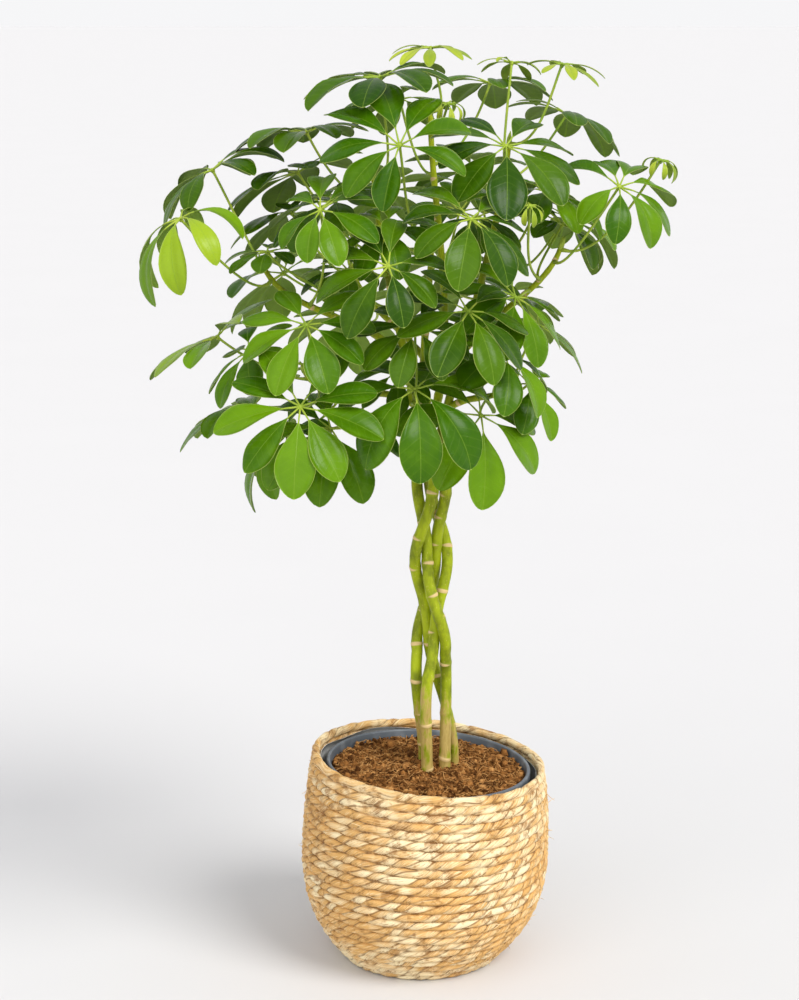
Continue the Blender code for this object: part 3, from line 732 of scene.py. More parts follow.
def liner_floor(points, steps, columns, count, low):
    """The sheet's two faces across the basket's floor."""
    middle = len(points)
    points += [Vector((0, 0, low)), Vector((0, 0, low + LINER_T))]
    faces = []
    for k in range(steps):
        here, there = k * columns, (k + 1) % steps * columns
        faces.append([there, here, middle])
        faces.append([count + here, count + there, middle + 1])
    return faces


def pot_finish(look):
    graph = surface_graph("pot_plastic")
    place = graph.place()
    scuff = graph.grain(graph.stretched(place, (1, 1, 6)), 260.0, 4.0, 0.7)
    dust = graph.grain(place, 55.0, 3.0).between(0.45, 0.75)
    colour = graph.mix(dust * 0.5, look.pot_colour, look.pot_dust)
    return graph.finish(base_color=colour, roughness=scuff * 0.25 + 0.30,
                        normal=graph.bump(scuff, 0.25, 0.0004))


def make_pot(look):
    """A thin moulded pot with a rolled lip."""
    low = pot_floor()
    under = POT_RIM_Z - POT_LIP_H
    middle = (POT_LIP_R + POT_WALL_R) / 2
    roll = (POT_LIP_R - POT_WALL_R) / 2
    profile = [(0.0, low + POT_WALL), (POT_BASE_R - 0.004, low + POT_WALL),
               (POT_BASE_R - POT_WALL, low + 0.004)]
    for i in range(1, 12):
        z = mixed(low + 0.004, POT_RIM_Z - 0.004, i / 11)
        profile.append((min(pot_wall(z), POT_WALL_R + POT_WALL) - POT_WALL, z))
    for i in range(9):
        angle = math.pi * (1 - i / 8)
        profile.append((middle + roll * math.cos(angle), POT_RIM_Z - roll + roll * math.sin(angle)))
    profile += [(POT_LIP_R, under + 0.0015), (POT_LIP_R - 0.0008, under), (POT_WALL_R + 0.0004, under)]
    for i in range(1, 8):
        z = mixed(under - 0.001, low + 0.002, i / 7)
        profile.append((pot_wall(z), z))
    profile += [(POT_BASE_R - 0.002, low), (0.0, low)]
    points, faces = turned(profile, POT_STEPS)
    shape = Shape()
    shape.add(leaned(points, POT_SLOPE), faces)
    seat(shape.build("moulded_pot", [pot_finish(look)]), "nursery_pot")


def soil_height(x, y):
    """The soil's surface: heaped at the stems, crumbly all over."""
    from_stems = math.hypot(x - BRAID_X, y)
    heap = SOIL_HEAP * (1 - smooth(from_stems / 0.075))
    rough = 0.0026 * wobble(x * 55, y * 55, 0.3) + 0.0024 * wobble(x * 130, y * 130, 5.3)
    fine = 0.0012 * wobble(x * 340, y * 340, 9.3)
    return SOIL_Z + 0.001 + heap + rough + fine


def soil_finish(look):
    graph = surface_graph("potting_soil")
    place = graph.place()
    clod = graph.grain(place, 75.0, 5.0, 0.7)
    grit = graph.grain(place, 700.0, 3.0, 0.7)
    tone = graph.value("tone")
    # Painted shade: the soil darkens where the clod noise that sinks the bump is low, in its hollows, mixed
    # with the crumbs' own random tone
    depth = (clod * 1.5 + tone * 0.65 + grit * 0.3 - 0.80).between(0.05, 0.70)
    colour = graph.mix(depth, look.soil_dark, look.soil_brown)
    colour = graph.mix((tone * 0.7 + grit * 0.4 + clod * 0.4).between(0.78, 1.10), colour, look.soil_fibre)
    return graph.finish(base_color=colour, roughness=0.92, specular_ior_level=0.08,
                        normal=graph.bump(clod * 0.6 + grit * 0.4, 0.8, 0.0012))


def add_crumbs(shape, count, reach):
    """Crumbs of peat and bark scattered evenly over the soil."""
    rng = seeded("crumbs")
    for _ in range(count):
        r = reach * math.sqrt(rng.random())
        angle = rng.uniform(0, FULL_TURN)
        x, y = r * math.cos(angle), r * math.sin(angle)
        size = rng.uniform(0.0007, 0.0026) * (1.0 if rng.random() < 0.90 else 1.9)
        centre = Vector((x, y, soil_height(x, y) + size * rng.uniform(-0.3, 0.35)))
        spin = rng.uniform(0, ANY_PHASE)
        axis = Vector(rng.choices((-1, 1, 0.5, -0.3), k=3)).normalized()
        turn = Matrix.Rotation(spin, 3, axis)
        stretch = Vector((rng.uniform(0.7, 1.7), rng.uniform(0.6, 1.2), rng.uniform(0.4, 0.9)))
        add_crumb(shape, centre, size, turn, stretch, rng)


def add_crumb(shape, centre, size, turn, stretch, rng):
    """An irregular lump: two uneven rings and two ends."""
    points = [Vector((0, 0, 1))]
    for z, sides in ((0.5, 5), (-0.5, 5)):
        for k in range(sides):
            angle = FULL_TURN * (k + (0.5 if z < 0 else 0)) / sides
            points.append(Vector((math.cos(angle) * 0.86, math.sin(angle) * 0.86, z)))
    points.append(Vector((0, 0, -1)))
    places = []
    for point in points:
        lump = point * rng.uniform(0.7, 1.25) * size
        places.append(centre + turn @ Vector((lump.x * stretch.x, lump.y * stretch.y, lump.z * stretch.z)))
    faces = []
    for k in range(5):
        after = (k + 1) % 5
        faces.append([0, 1 + k, 1 + after])
        faces.append([1 + k, 6 + k, 1 + after])
        faces.append([1 + after, 6 + k, 6 + after])
        faces.append([11, 6 + after, 6 + k])
    shape.add(places, faces, tone=rng.uniform(0.05, 0.75))


def add_fibres(shape, count, reach):
    """Coir fibres lying on the soil."""
    rng = seeded("fibres")
    for _ in range(count):
        r = reach * math.sqrt(rng.random())
        angle = rng.uniform(0, FULL_TURN)
        x, y = r * math.cos(angle), r * math.sin(angle)
        way = rng.uniform(0, FULL_TURN)
        length = rng.uniform(0.005, 0.020)
        bend = rng.uniform(-1.2, 1.2)
        line = []
        for i in range(5):
            t = i / 4 - 0.5
            px = x + length * t * math.cos(way + bend * t)
            py = y + length * t * math.sin(way + bend * t)
            if math.hypot(px, py) > reach:
                px, py = px * reach / math.hypot(px, py), py * reach / math.hypot(px, py)
            line.append(Vector((px, py, soil_height(px, py) + 0.0007 + rng.uniform(0, 0.0011))))
        radius = rng.uniform(0.00018, 0.00045)
        points, faces = tube(line, [radius * 0.5, radius, radius, radius, radius * 0.4], 4)
        shape.add(points, faces, tone=rng.uniform(0.55, 1.0))


def make_soil(look):
    """Peat and coir that fills the pot, with crumbs and fibres on top."""
    inset = POT_WALL + 2 * GAP
    reach = pot_wall(SOIL_Z) - inset
    low = pot_floor() + POT_WALL + GAP
    rings, steps = SOIL_RINGS, SOIL_STEPS
    points = []
    for i in range(1, rings + 1):
        r = reach * i / rings
        for k in range(steps):
            angle = FULL_TURN * k / steps
            x, y = r * math.cos(angle), r * math.sin(angle)
            points.append(Vector((x, y, soil_height(x, y) - SOIL_EDGE_DIP * smooth((i / rings - 0.9) * 10))))
    foot = POT_BASE_R - inset
    points += [Vector((foot * math.cos(a), foot * math.sin(a), low))
               for a in (FULL_TURN * k / steps for k in range(steps))]
    faces = [list(reversed(face)) for face in net(rings + 1, steps, loop=True)]
    faces.append(list(range(steps)))
    faces.append([rings * steps + k for k in reversed(range(steps))])
    shape = Shape("tone")
    shape.add(points, faces, tone=0.25)
    add_crumbs(shape, look.crumbs, reach - 0.003)
    add_fibres(shape, look.fibres, reach - 0.003)
    shape.points = leaned(shape.points, POT_SLOPE)
    seat(shape.build("potting_soil", [soil_finish(look)]), "soil")


# ---------------------------------------------------------------- stems and shoots

def braid_point(stem, z):
    """Centre of a braided stem at a height."""
    turn, facing_z, _, _ = STEMS[stem]
    angle = turn * BRAID_TURN * (z - facing_z)
    swing = math.cos(FULL_TURN * (z - BRAID_PHASE_Z) / BRAID_PERIOD)
    if turn < 0 and z < BRAID_PHASE_Z:
        swing = max(swing, BRAID_LOW_SWING)
    radius = BRAID_R - turn * BRAID_SWING * swing
    return Vector((BRAID_X + radius * math.cos(angle), radius * math.sin(angle), z))


def braid_slope(stem, z):
    step = 0.0005
    return (braid_point(stem, z + step) - braid_point(stem, z - step)) / (2 * step)


def foot_point(stem, z):
    """Centre of a stem below the braid: upright in the soil, then bending into its first turn."""
    foot = STEMS[stem][2]
    low = Vector((BRAID_X + foot[0], foot[1], STEM_FREE_Z))
    if z <= STEM_FREE_Z:
        return Vector((low.x, low.y, z))
    high = braid_point(stem, BRAID_Z[0])
    span = BRAID_Z[0] - STEM_FREE_Z
    u = (z - STEM_FREE_Z) / span
    point = low.lerp(high, u * u * (3 - 2 * u)) + braid_slope(stem, BRAID_Z[0]) * span * u * u * (u - 1)
    return Vector((point.x, point.y, z))


def bezier(points, t):
    a, b, c, d = points
    s = 1 - t
    return a * s ** 3 + b * (3 * s * s * t) + c * (3 * s * t * t) + d * t ** 3


def bezier_direction(points, t):
    a, b, c, d = points
    s = 1 - t
    return ((b - a) * s * s + (c - b) * (2 * s * t) + (d - c) * t * t).normalized()


def shoot_curve(name):
    """Control points of a shoot: out of its stem or fork, then up and outward to its tip."""
    stem, fork, tip = SHOOTS[name]
    tip = Vector(tip)
    if fork == 0.0:
        start = braid_point(stem, BRAID_Z[1])
        heading = braid_slope(stem, BRAID_Z[1]).normalized()
    else:
        leader = shoot_curve(leader_of(stem))
        start = bezier(leader, fork)
        heading = bezier_direction(leader, fork) * 0.4 + (tip - start).normalized() * 0.6
        heading.normalize()
    reach = (tip - start).length
    ending = ((tip - start).normalized() * 0.5 + Vector((0, 0, 0.7))).normalized()
    return start, start + heading * reach * 0.35, tip - ending * reach * 0.30, tip


def leader_of(stem):
    return next(name for name, shoot in SHOOTS.items() if shoot[0] == stem and shoot[1] == 0.0)


def shoot_radius(name, t):
    low, high = SHOOT_R if SHOOTS[name][1] == 0.0 else BRANCH_R
    return low + (high - low) * t


def stem_line(stem):
    """Points and radii from the soil to the leader's tip."""
    foot_r = STEMS[stem][3]
    line = []
    z = SOIL_Z - STEM_BELOW_SOIL
    while z < BRAID_Z[1]:
        share = smooth((z - STEM_FREE_Z) / (BRAID_Z[0] - STEM_FREE_Z))
        point = foot_point(stem, z) if z < BRAID_Z[0] else braid_point(stem, z)
        ending = smooth((z - BRAID_Z[1] + 0.030) / 0.030)
        radius = mixed(mixed(foot_r, STEM_R, share), SHOOT_R[0], ending)
        line.append((point, radius))
        z += STEM_STEP
    leader = leader_of(stem)
    return line + shoot_line(leader, STEM_STEP)


def shoot_line(name, step):
    curve = shoot_curve(name)
    count = max(8, round((curve[3] - curve[0]).length * 1.08 / step))
    return [(bezier(curve, i / count), shoot_radius(name, i / count)) for i in range(count + 1)]


def add_stem(shape, line, sides, rng, node_gap, old_below):
    """A tube with swollen nodes and the crescent scars of fallen leaves."""
    runs = [0.0]
    for (before, _), (after, _) in zip(line, line[1:]):
        runs.append(runs[-1] + (after - before).length)
    nodes = []
    at = rng.uniform(0.004, node_gap)
    while at < runs[-1] - 0.006:
        nodes.append((at, rng.uniform(0, FULL_TURN), rng.uniform(-0.25, 0.25)))
        at += node_gap * rng.uniform(0.5, 1.35)
    points, marks, ages = [], [], []
    frames = frames_along([point for point, _ in line])
    for (point, radius), run, (side, up) in zip(line, runs, frames):
        near = min(nodes, key=lambda item: abs(item[0] - run)) if nodes else (1.0, 0.0, 0.0)
        swelling = NODE_SWELLING * math.exp(-((run - near[0]) / NODE_HALF) ** 2)
        for k in range(sides):
            angle = FULL_TURN * k / sides
            tilt = radius * near[2] * math.sin(angle - near[1])
            crescent = max(0.0, 0.45 + 0.55 * math.cos(angle - near[1]))
            width = SCAR_THIN + SCAR_MORE * crescent
            mark = crescent * math.exp(-((run - near[0] + tilt) / width) ** 2)
            uneven = 1 + swelling + 0.03 * wobble(angle * 0.9, run * 55, point.x * 30) + 0.05 * mark
            points.append(point + (side * math.cos(angle) + up * math.sin(angle)) * radius * uneven)
            marks.append(mark)
            ages.append(1 - smooth((point.z - old_below) / OLD_FADE))
    faces = net(len(line), sides, loop=True)
    last = (len(line) - 1) * sides
    faces.append(list(range(sides - 1, -1, -1)))
    faces.append(list(range(last, last + sides)))
    shape.add(points, faces, mark=marks, age=ages)


def add_bud(shape, tip, heading, rng):
    """The growing point: a few folded young leaves round a tapering tip."""
    side = heading.orthogonal().normalized()
    for k in range(4):
        turn = Matrix.Rotation(FULL_TURN * k / 4 + rng.uniform(-0.4, 0.4), 3, heading)
        out = turn @ side
        length = rng.uniform(0.009, 0.017)
        spread = rng.uniform(0.10, 0.34)
        line = [tip - heading * 0.002 + heading * length * t + out * length * spread * t * (1.3 - t)
                for t in (0.0, 0.3, 0.6, 0.85, 1.0)]
        points, faces = tube(line, [0.0017, 0.0021, 0.0016, 0.0009, 0.0003], 8)
        shape.add(points, faces, slot=1, mark=0.0, age=0.0)


def bark_finish(look):
    graph = surface_graph("green_bark")
    place = graph.place()
    patch = graph.grain(graph.stretched(place, (1, 1, 0.5)), 48.0, 4.0, 0.65)
    streak = graph.grain(graph.stretched(place, (1, 1, 0.18)), 420.0, 3.0, 0.6)
    dots = 1 - graph.cells(graph.stretched(place, (1, 1, 0.6)), 330.0).between(0.10, 0.22)
    age = graph.value("age")
    mark = graph.value("mark")
    green = graph.mix(patch.between(0.32, 0.62), look.bark_green, look.bark_lime)
    tan = graph.mix(streak, look.bark_brown, look.bark_tan)
    old = age * 0.85 + patch * 2.2 + streak * 0.35 - 1.90
    colour = graph.mix(old.between(0.0, 0.32), green, tan)
    colour = graph.mix(dots * 0.30, colour, look.bark_tan)
    colour = graph.mix((streak - 0.1).between(0.42, 0.70) * 0.35, colour, look.bark_brown)
    colour = graph.mix(mark.between(0.10, 0.55), colour, look.bark_scar)
    height = streak * 0.5 + mark * 1.2 + dots * 0.35
    return graph.finish(base_color=colour, roughness=streak * 0.25 + 0.36, specular_ior_level=0.2,
                        normal=graph.bump(height, 0.5, 0.0006))


def make_stems(look, leaf_look):
    bark = bark_finish(look)
    green = stalk_finish(leaf_look)
    for stem in STEMS:
        rng = seeded(stem)
        shape = Shape("mark", "age")
        old_below = OLD_BELOW_FRONT if stem in ("stem_front", "stem_right") else OLD_BELOW
        add_stem(shape, stem_line(stem), STEM_SIDES, rng, look.node_gap, old_below)
        for name, (owner, fork, _) in SHOOTS.items():
            if owner == stem:
                curve = shoot_curve(name)
                add_bud(shape, curve[3], bezier_direction(curve, 1.0), rng)
                if fork > 0.0:
                    line = shoot_line(name, STEM_STEP)
                    add_stem(shape, line, STEM_SIDES - 4, rng, look.node_gap * 0.45, 0.0)
        seat(shape.build(stem.replace("stem", "bark"), [bark, green]), stem)


# ---------------------------------------------------------------- leaves

def plan_vector(turn, rise):
    """Unit vector from a turn in plan and a rise above level, in degrees."""
    turn, rise = math.radians(turn), math.radians(rise)
    return Vector((math.cos(turn) * math.cos(rise), math.sin(turn) * math.cos(rise), math.sin(rise)))


def leaf_pose(leaf, choice):
    """Foot, hub and axes of a leaf after it has made way for its neighbours."""
    shoot, place, hub, facing, _, _, _, _ = leaf
    _, reach, tilt, spin, slide = choice
    curve = shoot_curve(shoot)
    place = place + slide
    core = bezier(curve, place)
    along = bezier_direction(curve, place)
    hub = Vector(hub) * 0.01
    chord = (hub - core).normalized()
    hub += chord * reach
    side = (hub - core) - along * (hub - core).dot(along)
    if side.length < 0.01:
        side = Vector((along.z, 0.0, -along.x))
    side.normalize()
    foot = core + side * (shoot_radius(shoot, place) + SEAT)
    normal = plan_vector(facing[0], facing[1] + tilt)
    outward = hub - foot
    outward -= normal * outward.dot(normal)
    if outward.length < 0.02:
        outward = plan_vector(facing[0], facing[1] - 90.0)
        outward -= normal * outward.dot(normal)
    outward.normalize()
    outward = Matrix.Rotation(math.radians(spin), 3, normal) @ outward
    return foot, side, hub, normal, outward


def petiole_curve(foot, side, hub, normal):
    reach = (hub - foot).length
    arrive = (normal * 0.5 + (hub - foot).normalized() * 0.5).normalized()
    return foot, foot + side * reach * 0.3, hub - arrive * reach * 0.3, hub


def vary(kind, number, position):
    """A fixed irregularity for one leaflet of one leaf, within plus or minus VARY's share."""
    wave = math.sin(number * 12.9898 + position * 78.233 + len(kind) * 37.719) * 43758.5453
    return VARY[kind] * (2 * (wave - math.floor(wave)) - 1)


class Leaflet:
    """One leaflet's midrib: an arc that leaves the hub and sags under its own weight."""

    def __init__(self, number, position, angle, length, droop, down):
        angle += vary("turn", number, position)
        self.ray = Vector((math.cos(angle), math.sin(angle), 0.0))
        shorter = 1 - INNER_SHORT * (1 - math.cos(angle)) / 2
        self.length = length * shorter * (1 + vary("length", number, position))
        self.bend = math.radians(droop) * (1 + vary("bend", number, position))
        self.rise = RISE + vary("rise", number, position)
        sag = Vector((0, 0, -1)) * (1 - SAG_DOWN) + down * SAG_DOWN
        sag -= self.ray * sag.dot(self.ray)
        self.sag = sag.normalized()
        self.across = self.sag.cross(self.ray)

    def midrib(self, share):
        """Point on the midrib, and the upward direction there, at a share of the length."""
        start, turned_by = self.rise, self.bend * share
        radius = self.length / self.bend
        out = radius * (math.sin(start) - math.sin(start - turned_by))
        drop = radius * (math.cos(start) - math.cos(start - turned_by))
        heading = start - turned_by
        up = -self.sag * math.cos(heading) - self.ray * math.sin(heading)
        return self.ray * (HUB_R + out) + self.sag * drop, up


def leaf_frame(hub, normal, outward):
    axes = Matrix((outward, normal.cross(outward), normal)).transposed().to_4x4()
    axes.translation = hub
    return axes


def leaflets_of(number, choice):
    """The leaf's place in the world, its petiole and its leaflets."""
    _, _, _, _, length, count, droop, _ = LEAVES[number]
    foot, side, hub, normal, outward = leaf_pose(LEAVES[number], choice)
    axes = leaf_frame(hub, normal, outward)
    down = axes.to_3x3().transposed() @ Vector((0, 0, -1))
    leaflets = []
    for position in range(1, count + 1):
        angle = math.pi + FULL_TURN * position / (count + 1)
        angle = math.atan2(math.sin(angle), math.cos(angle))
        leaflets.append(Leaflet(number, position, angle, length * 0.001 * choice[0], droop, down))
    return axes, petiole_curve(foot, side, hub, normal), leaflets


def box_miss(number, choice, low, high):
    """How far the box of a leaf's plates lies from the frame's, on the sides that leaflets reach."""
    axes, petiole, leaflets = leaflets_of(number, choice)
    points = [petiole[0]]
    for leaflet in leaflets:
        for share, half in ((BELLY_AT, BELLY_HALF), (1.0, BELLY_HALF * TIP_HALF)):
            centre, up = leaflet.midrib(share)
            for way, lift in product((-1, 1), repeat=2):
                offset = leaflet.across * (leaflet.length * half * way) + up * (LEAF_T / 2 * lift)
                points.append(axes @ (centre + offset))
    misses = []
    for i in range(3):
        misses.append(abs(min(point[i] for point in points) - low[i]))
        misses.append(abs(max(point[i] for point in points) - high[i]))
    return sorted(misses)[3]


def effort(choice):
    """How far a choice departs from the leaf's own row in the table."""
    changes = (1.0 - choice[0], *choice[1:])
    return sum(weight * abs(change) for weight, change in zip(EFFORTS, changes))


def choice_of(number, choices):
    """How the frame's leaf made way: the choice whose box is the frame's own."""
    low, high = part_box(f"leaf_{number + 1:02d}")
    best = None
    for choice in choices:
        miss = box_miss(number, choice, low, high)
        if best is None or miss < best[0]:
            best = (miss, choice)
        if miss < BOX_MATCH:
            break
    if best[0] > 10 * BOX_MATCH:
        raise RuntimeError(f"leaf {number + 1} isn't where the frame has it")
    return best[1]


def outline(t):
    """Half width of a blade along its length: a wedge at the base, then a belly and a blunt tip."""
    full = math.sin(math.pi * t ** 1.45) ** mixed(0.95, 0.55, t) if 0 < t < 1 else 0.0
    return max(full * (1 - 0.12 * t ** 9), BLADE_NARROWEST)


def add_blade(shape, axes, leaflet, rng, crease, tint, slim):
    """A closed blade: folded along the midrib, arched to its margins, a little wavy and twisted."""
    widest = BELLY_HALF * leaflet.length * rng.uniform(0.90, 1.04) * slim
    fold = crease * rng.uniform(0.6, 1.5)
    arch = rng.uniform(0.26, 0.46)
    twist = math.radians(rng.uniform(-18, 18))
    wave = rng.uniform(0.2, 0.9) * 0.050
    waves = rng.uniform(1.2, 2.4)
    phase = rng.uniform(0, ANY_PHASE)
    tone = rng.uniform(0, 1) + tint
    length = leaflet.length * (1 - STALK_SHARE)
    top, bottom = [], []
    values = {"aside": [], "along": [], "edge": []}
    for i in range(BLADE_ROWS + 1):
        u = i / BLADE_ROWS
        t = 0.4 * u + 0.6 * (1 - math.cos(math.pi * u)) / 2
        centre, up = leaflet.midrib(STALK_SHARE + (1 - STALK_SHARE) * t)
        half = widest * outline(t)
        lean = twist * (t - 0.3)
        side = leaflet.across * math.cos(lean) + up * math.sin(lean)
        rise = up * math.cos(lean) - leaflet.across * math.sin(lean)
        for j in range(BLADE_COLUMNS + 1):
            v = 2 * j / BLADE_COLUMNS - 1
            height = half * (fold * abs(v) - arch * v * v)
            height += widest * wave * v * math.sin(waves * FULL_TURN * t + phase) * abs(v) * 4 * t * (1 - t)
            rib = 0.0005 * (1 - t) * max(0.0, 1 - abs(v) * 5) + BLADE_T / 2
            thick = BLADE_T / 2 * (1 - 0.4 * abs(v))
            point = centre + side * (half * v) + rise * height
            top.append(axes @ (point + rise * thick))
            bottom.append(axes @ (point - rise * max(rib, thick) if v == 0 else point - rise * thick))
            values["aside"].append(half * v * 1000)
            values["along"].append(t)
            values["edge"].append(min(half * (1 - abs(v)), length * (1 - t) * 0.6) * 1000)
    blade_faces(shape, top, bottom, values, tone)


def blade_faces(shape, top, bottom, values, tone):
    rows, columns = BLADE_ROWS + 1, BLADE_COLUMNS + 1
    count = rows * columns
    upper = [list(reversed(face)) for face in net(rows, columns)]
    lower = [[count + corner for corner in face] for face in net(rows, columns)]
    border = list(range(columns))
    border += [i * columns + columns - 1 for i in range(1, rows)]
    border += [(rows - 1) * columns + j for j in range(columns - 2, -1, -1)]
    border += [i * columns for i in range(rows - 2, 0, -1)]
    rim = [[after, here, count + here, count + after] for here, after in zip(border, border[1:] + border[:1])]
    doubled = {name: column * 2 for name, column in values.items()}
    faces = upper + rim + lower
    first = len(shape.faces)
    shape.add(top + bottom, faces, slot=0, tone=tone, **doubled)
    shape.slots[first + len(upper) + len(rim):] = [1] * len(lower)


def add_stalks(shape, axes, petiole, leaflets, rng):
    """The petiole, the hub at its top and a short stalk to each blade."""
    foot, lean, _, hub = petiole
    inward = (foot - lean).normalized()
    steps = PETIOLE_STEPS
    line = [bezier(petiole, i / steps) for i in range(steps + 1)]
    line[0] = foot + inward * FOOT_SUNK
    reach = (hub - foot).length
    radii = [PETIOLE_R + PETIOLE_FOOT * math.exp(-reach * i / steps / 0.005) for i in range(steps + 1)]
    radii[-1] = PETIOLE_R * 1.25
    points, faces = tube(line, radii, 10)
    shape.add(points, faces, slot=2, tone=rng.uniform(0, 1))
    normal = axes.to_3x3() @ Vector((0, 0, 1))
    line = [hub + normal * h for h in (-0.0032, -0.0016, 0.0, 0.0012, 0.0018)]
    points, faces = tube(line, [0.0014, 0.0022, 0.0026, 0.0018, 0.0008], 12)
    shape.add(points, faces, slot=2, tone=0.3)
    for leaflet in leaflets:
        shares = (0.0, 0.05, 0.10, STALK_SHARE, STALK_SHARE + 0.05)
        line = [axes @ leaflet.midrib(share)[0] for share in shares]
        line[0] = hub.copy()
        radii = [mixed(*PETIOLULE_R, i / 4) for i in range(5)]
        points, faces = tube(line, radii, 8)
        shape.add(points, faces, slot=2, tone=rng.uniform(0, 1))


def upper_finish(look, age):
    dark, light = look.shades(age)
    graph = surface_graph("leaf_upper_" + age)
    place = graph.place()
    aside = abs(graph.value("aside"))
    along = graph.value("along")
    tone = graph.value("tone")
    blotch = graph.grain(place, 50.0, 3.0)
    cloud = graph.grain(place, 14.0, 2.0)
    ribs = ((along * look.side_veins - aside * 0.080) * FULL_TURN).sine().between(0.86, 1.0)
    midrib = 1 - aside.between(0.12, 0.50)
    margin = 1 - graph.value("edge").between(look.margin_width * 0.35, look.margin_width)
    colour = graph.mix((tone * 0.55 + blotch * 0.5 + cloud * 0.6 - 0.30).between(0.05, 0.95), dark, light)
    # Painted light: leaves whose tint lifts their tone above one take the sunlit colour
    colour = graph.mix(tone.between(1.05, 1.7) * 0.85, colour, look.sunlit_colour)
    colour = graph.mix(ribs * 0.07 + midrib * 0.45, colour, look.vein_colour)
    colour = graph.mix(margin * 0.80, colour, look.margin_colour)
    height = blotch * 0.15 - midrib * 0.8 - ribs * 0.25
    return graph.finish(through=look.through_colour, through_share=0.14, base_color=colour,
                        roughness=blotch * 0.16 + 0.18, specular_ior_level=0.17,
                        normal=graph.bump(height, 0.45, 0.0006))


def under_finish(look, age):
    _, light = look.shades(age)
    graph = surface_graph("leaf_under_" + age)
    place = graph.place()
    aside = abs(graph.value("aside"))
    along = graph.value("along")
    blotch = graph.grain(place, 60.0, 3.0)
    ribs = ((along * look.side_veins - aside * 0.080) * FULL_TURN).sine().between(0.80, 1.0)
    midrib = 1 - aside.between(0.35, 1.1)
    margin = 1 - graph.value("edge").between(look.margin_width * 0.35, look.margin_width)
    base = graph.mix(blotch, look.under_colour, look.under_light)
    colour = graph.mix(0.35, base, light)
    colour = graph.mix(ribs * 0.25 + midrib * 0.75, colour, look.vein_colour)
    colour = graph.mix(margin * 0.85, colour, look.margin_colour)
    height = midrib * 0.9 + ribs * 0.5 + blotch * 0.2
    return graph.finish(through=look.through_colour, through_share=0.18, base_color=colour,
                        roughness=blotch * 0.15 + 0.48, specular_ior_level=0.15,
                        normal=graph.bump(height, 0.4, 0.0006))


def stalk_finish(look):
    graph = surface_graph("green_stalk")
    place = graph.place()
    patch = graph.grain(place, 45.0, 2.0)
    streak = graph.grain(graph.stretched(place, (1, 1, 0.3)), 600.0, 2.0)
    colour = graph.mix((patch + streak * 0.4).between(0.4, 0.95), look.stalk_green, look.stalk_lime)
    return graph.finish(base_color=colour, roughness=streak * 0.2 + 0.35, specular_ior_level=0.2,
                        normal=graph.bump(streak, 0.3, 0.0003))


def make_leaves(look):
    """Each leaf in one piece: petiole, hub and leaflets."""
    finishes = {age: [upper_finish(look, age), under_finish(look, age)] for age in ("young", "mid", "old")}
    stalk = stalk_finish(look)
    choices = sorted(product(SIZES, REACHES, TILTS, SPINS, SLIDES), key=effort)
    for number, leaf in enumerate(LEAVES):
        age = leaf[7]
        rng = seeded("leaf", number)
        tint = LEAF_TINTS.get(number + 1, 0.0)
        slim = LEAF_SLIMS.get(number + 1, YOUNG_SLIM if age == "young" else 1.0)
        axes, petiole, leaflets = leaflets_of(number, choice_of(number, choices))
        shape = Shape("aside", "along", "edge", "tone")
        for leaflet in leaflets:
            add_blade(shape, axes, leaflet, rng, look.crease, tint, slim)
        add_stalks(shape, axes, petiole, leaflets, rng)
        piece = shape.build(f"foliage_{number + 1:02d}", [*finishes[age], stalk])
        seat(piece, f"leaf_{number + 1:02d}")


# ---------------------------------------------------------------- stage

def stage_finish(look):
    graph = surface_graph("studio_floor")
    grain = graph.grain(graph.place(), 3.0, 2.0)
    colour = graph.mix(grain, look.floor_colour, look.floor_shade)
    return graph.finish(base_color=colour, roughness=0.9)


def make_sky(look):
    """The same brightness as the floor where they meet, darker overhead."""
    graph = Graph(bpy.data.worlds.new("studio"))
    direction = graph.node("ShaderNodeTexCoord")
    height = graph.node("ShaderNodeSeparateXYZ", {}, {0: direction}, output=2)
    colour = graph.mix(height.between(0.03, 0.40), look.horizon_colour, look.sky_colour)
    background = graph.node("ShaderNodeBackground", {}, {"Color": colour})
    graph.node("ShaderNodeOutputWorld", {}, {"Surface": background})
    bpy.context.scene.world = graph.owner


def add_sun(name, place, spread, strength, colour):
    """A soft distant lamp, as bright on the whole floor as on the plant."""
    light = bpy.data.lights.new(name, "SUN")
    light.angle = spread
    light.energy = strength
    light.color = colour
    lamp = bpy.data.objects.new(name, light)
    lamp.location = place
    lamp.rotation_euler = (-Vector(place)).to_track_quat("-Z", "Y").to_euler()
    bpy.context.scene.collection.objects.link(lamp)


def make_stage(look):
    """Pale floor, soft light and the camera."""
    steps = 64
    shape = Shape()
    rim = [Vector((math.cos(a), math.sin(a), 0.0)) * look.floor_radius
           for a in (FULL_TURN * k / steps for k in range(steps))]
    shape.add(rim, [list(range(steps))])
    shape.build("studio_floor", [stage_finish(look)])
    make_sky(look)
    add_sun("key", (1.9, -1.7, 2.5), look.lamp_spread, look.key_strength, (1.0, 0.98, 0.94))
    add_sun("fill", (-1.2, -2.4, 1.5), look.lamp_spread * 2, look.fill_strength, (1.0, 0.98, 0.95))
    camera = bpy.data.objects.new("camera", bpy.data.cameras.new("camera"))
    camera.data.sensor_width = 36.0
    camera.data.lens = look.lens
    camera.location = (-0.03, -2.10, 0.96)
    camera.rotation_euler = (math.radians(90 - look.camera_dip), 0.0, 0.0)
    bpy.context.scene.collection.objects.link(camera)
    bpy.context.scene.camera = camera
    bpy.context.scene.view_settings.view_transform = "Standard"


# ---------------------------------------------------------------- settings

def colour(name, description, default):
    return FloatVectorProperty(name=name, description=description, default=default, subtype="COLOR",
                               size=3, min=0.0, max=1.0)


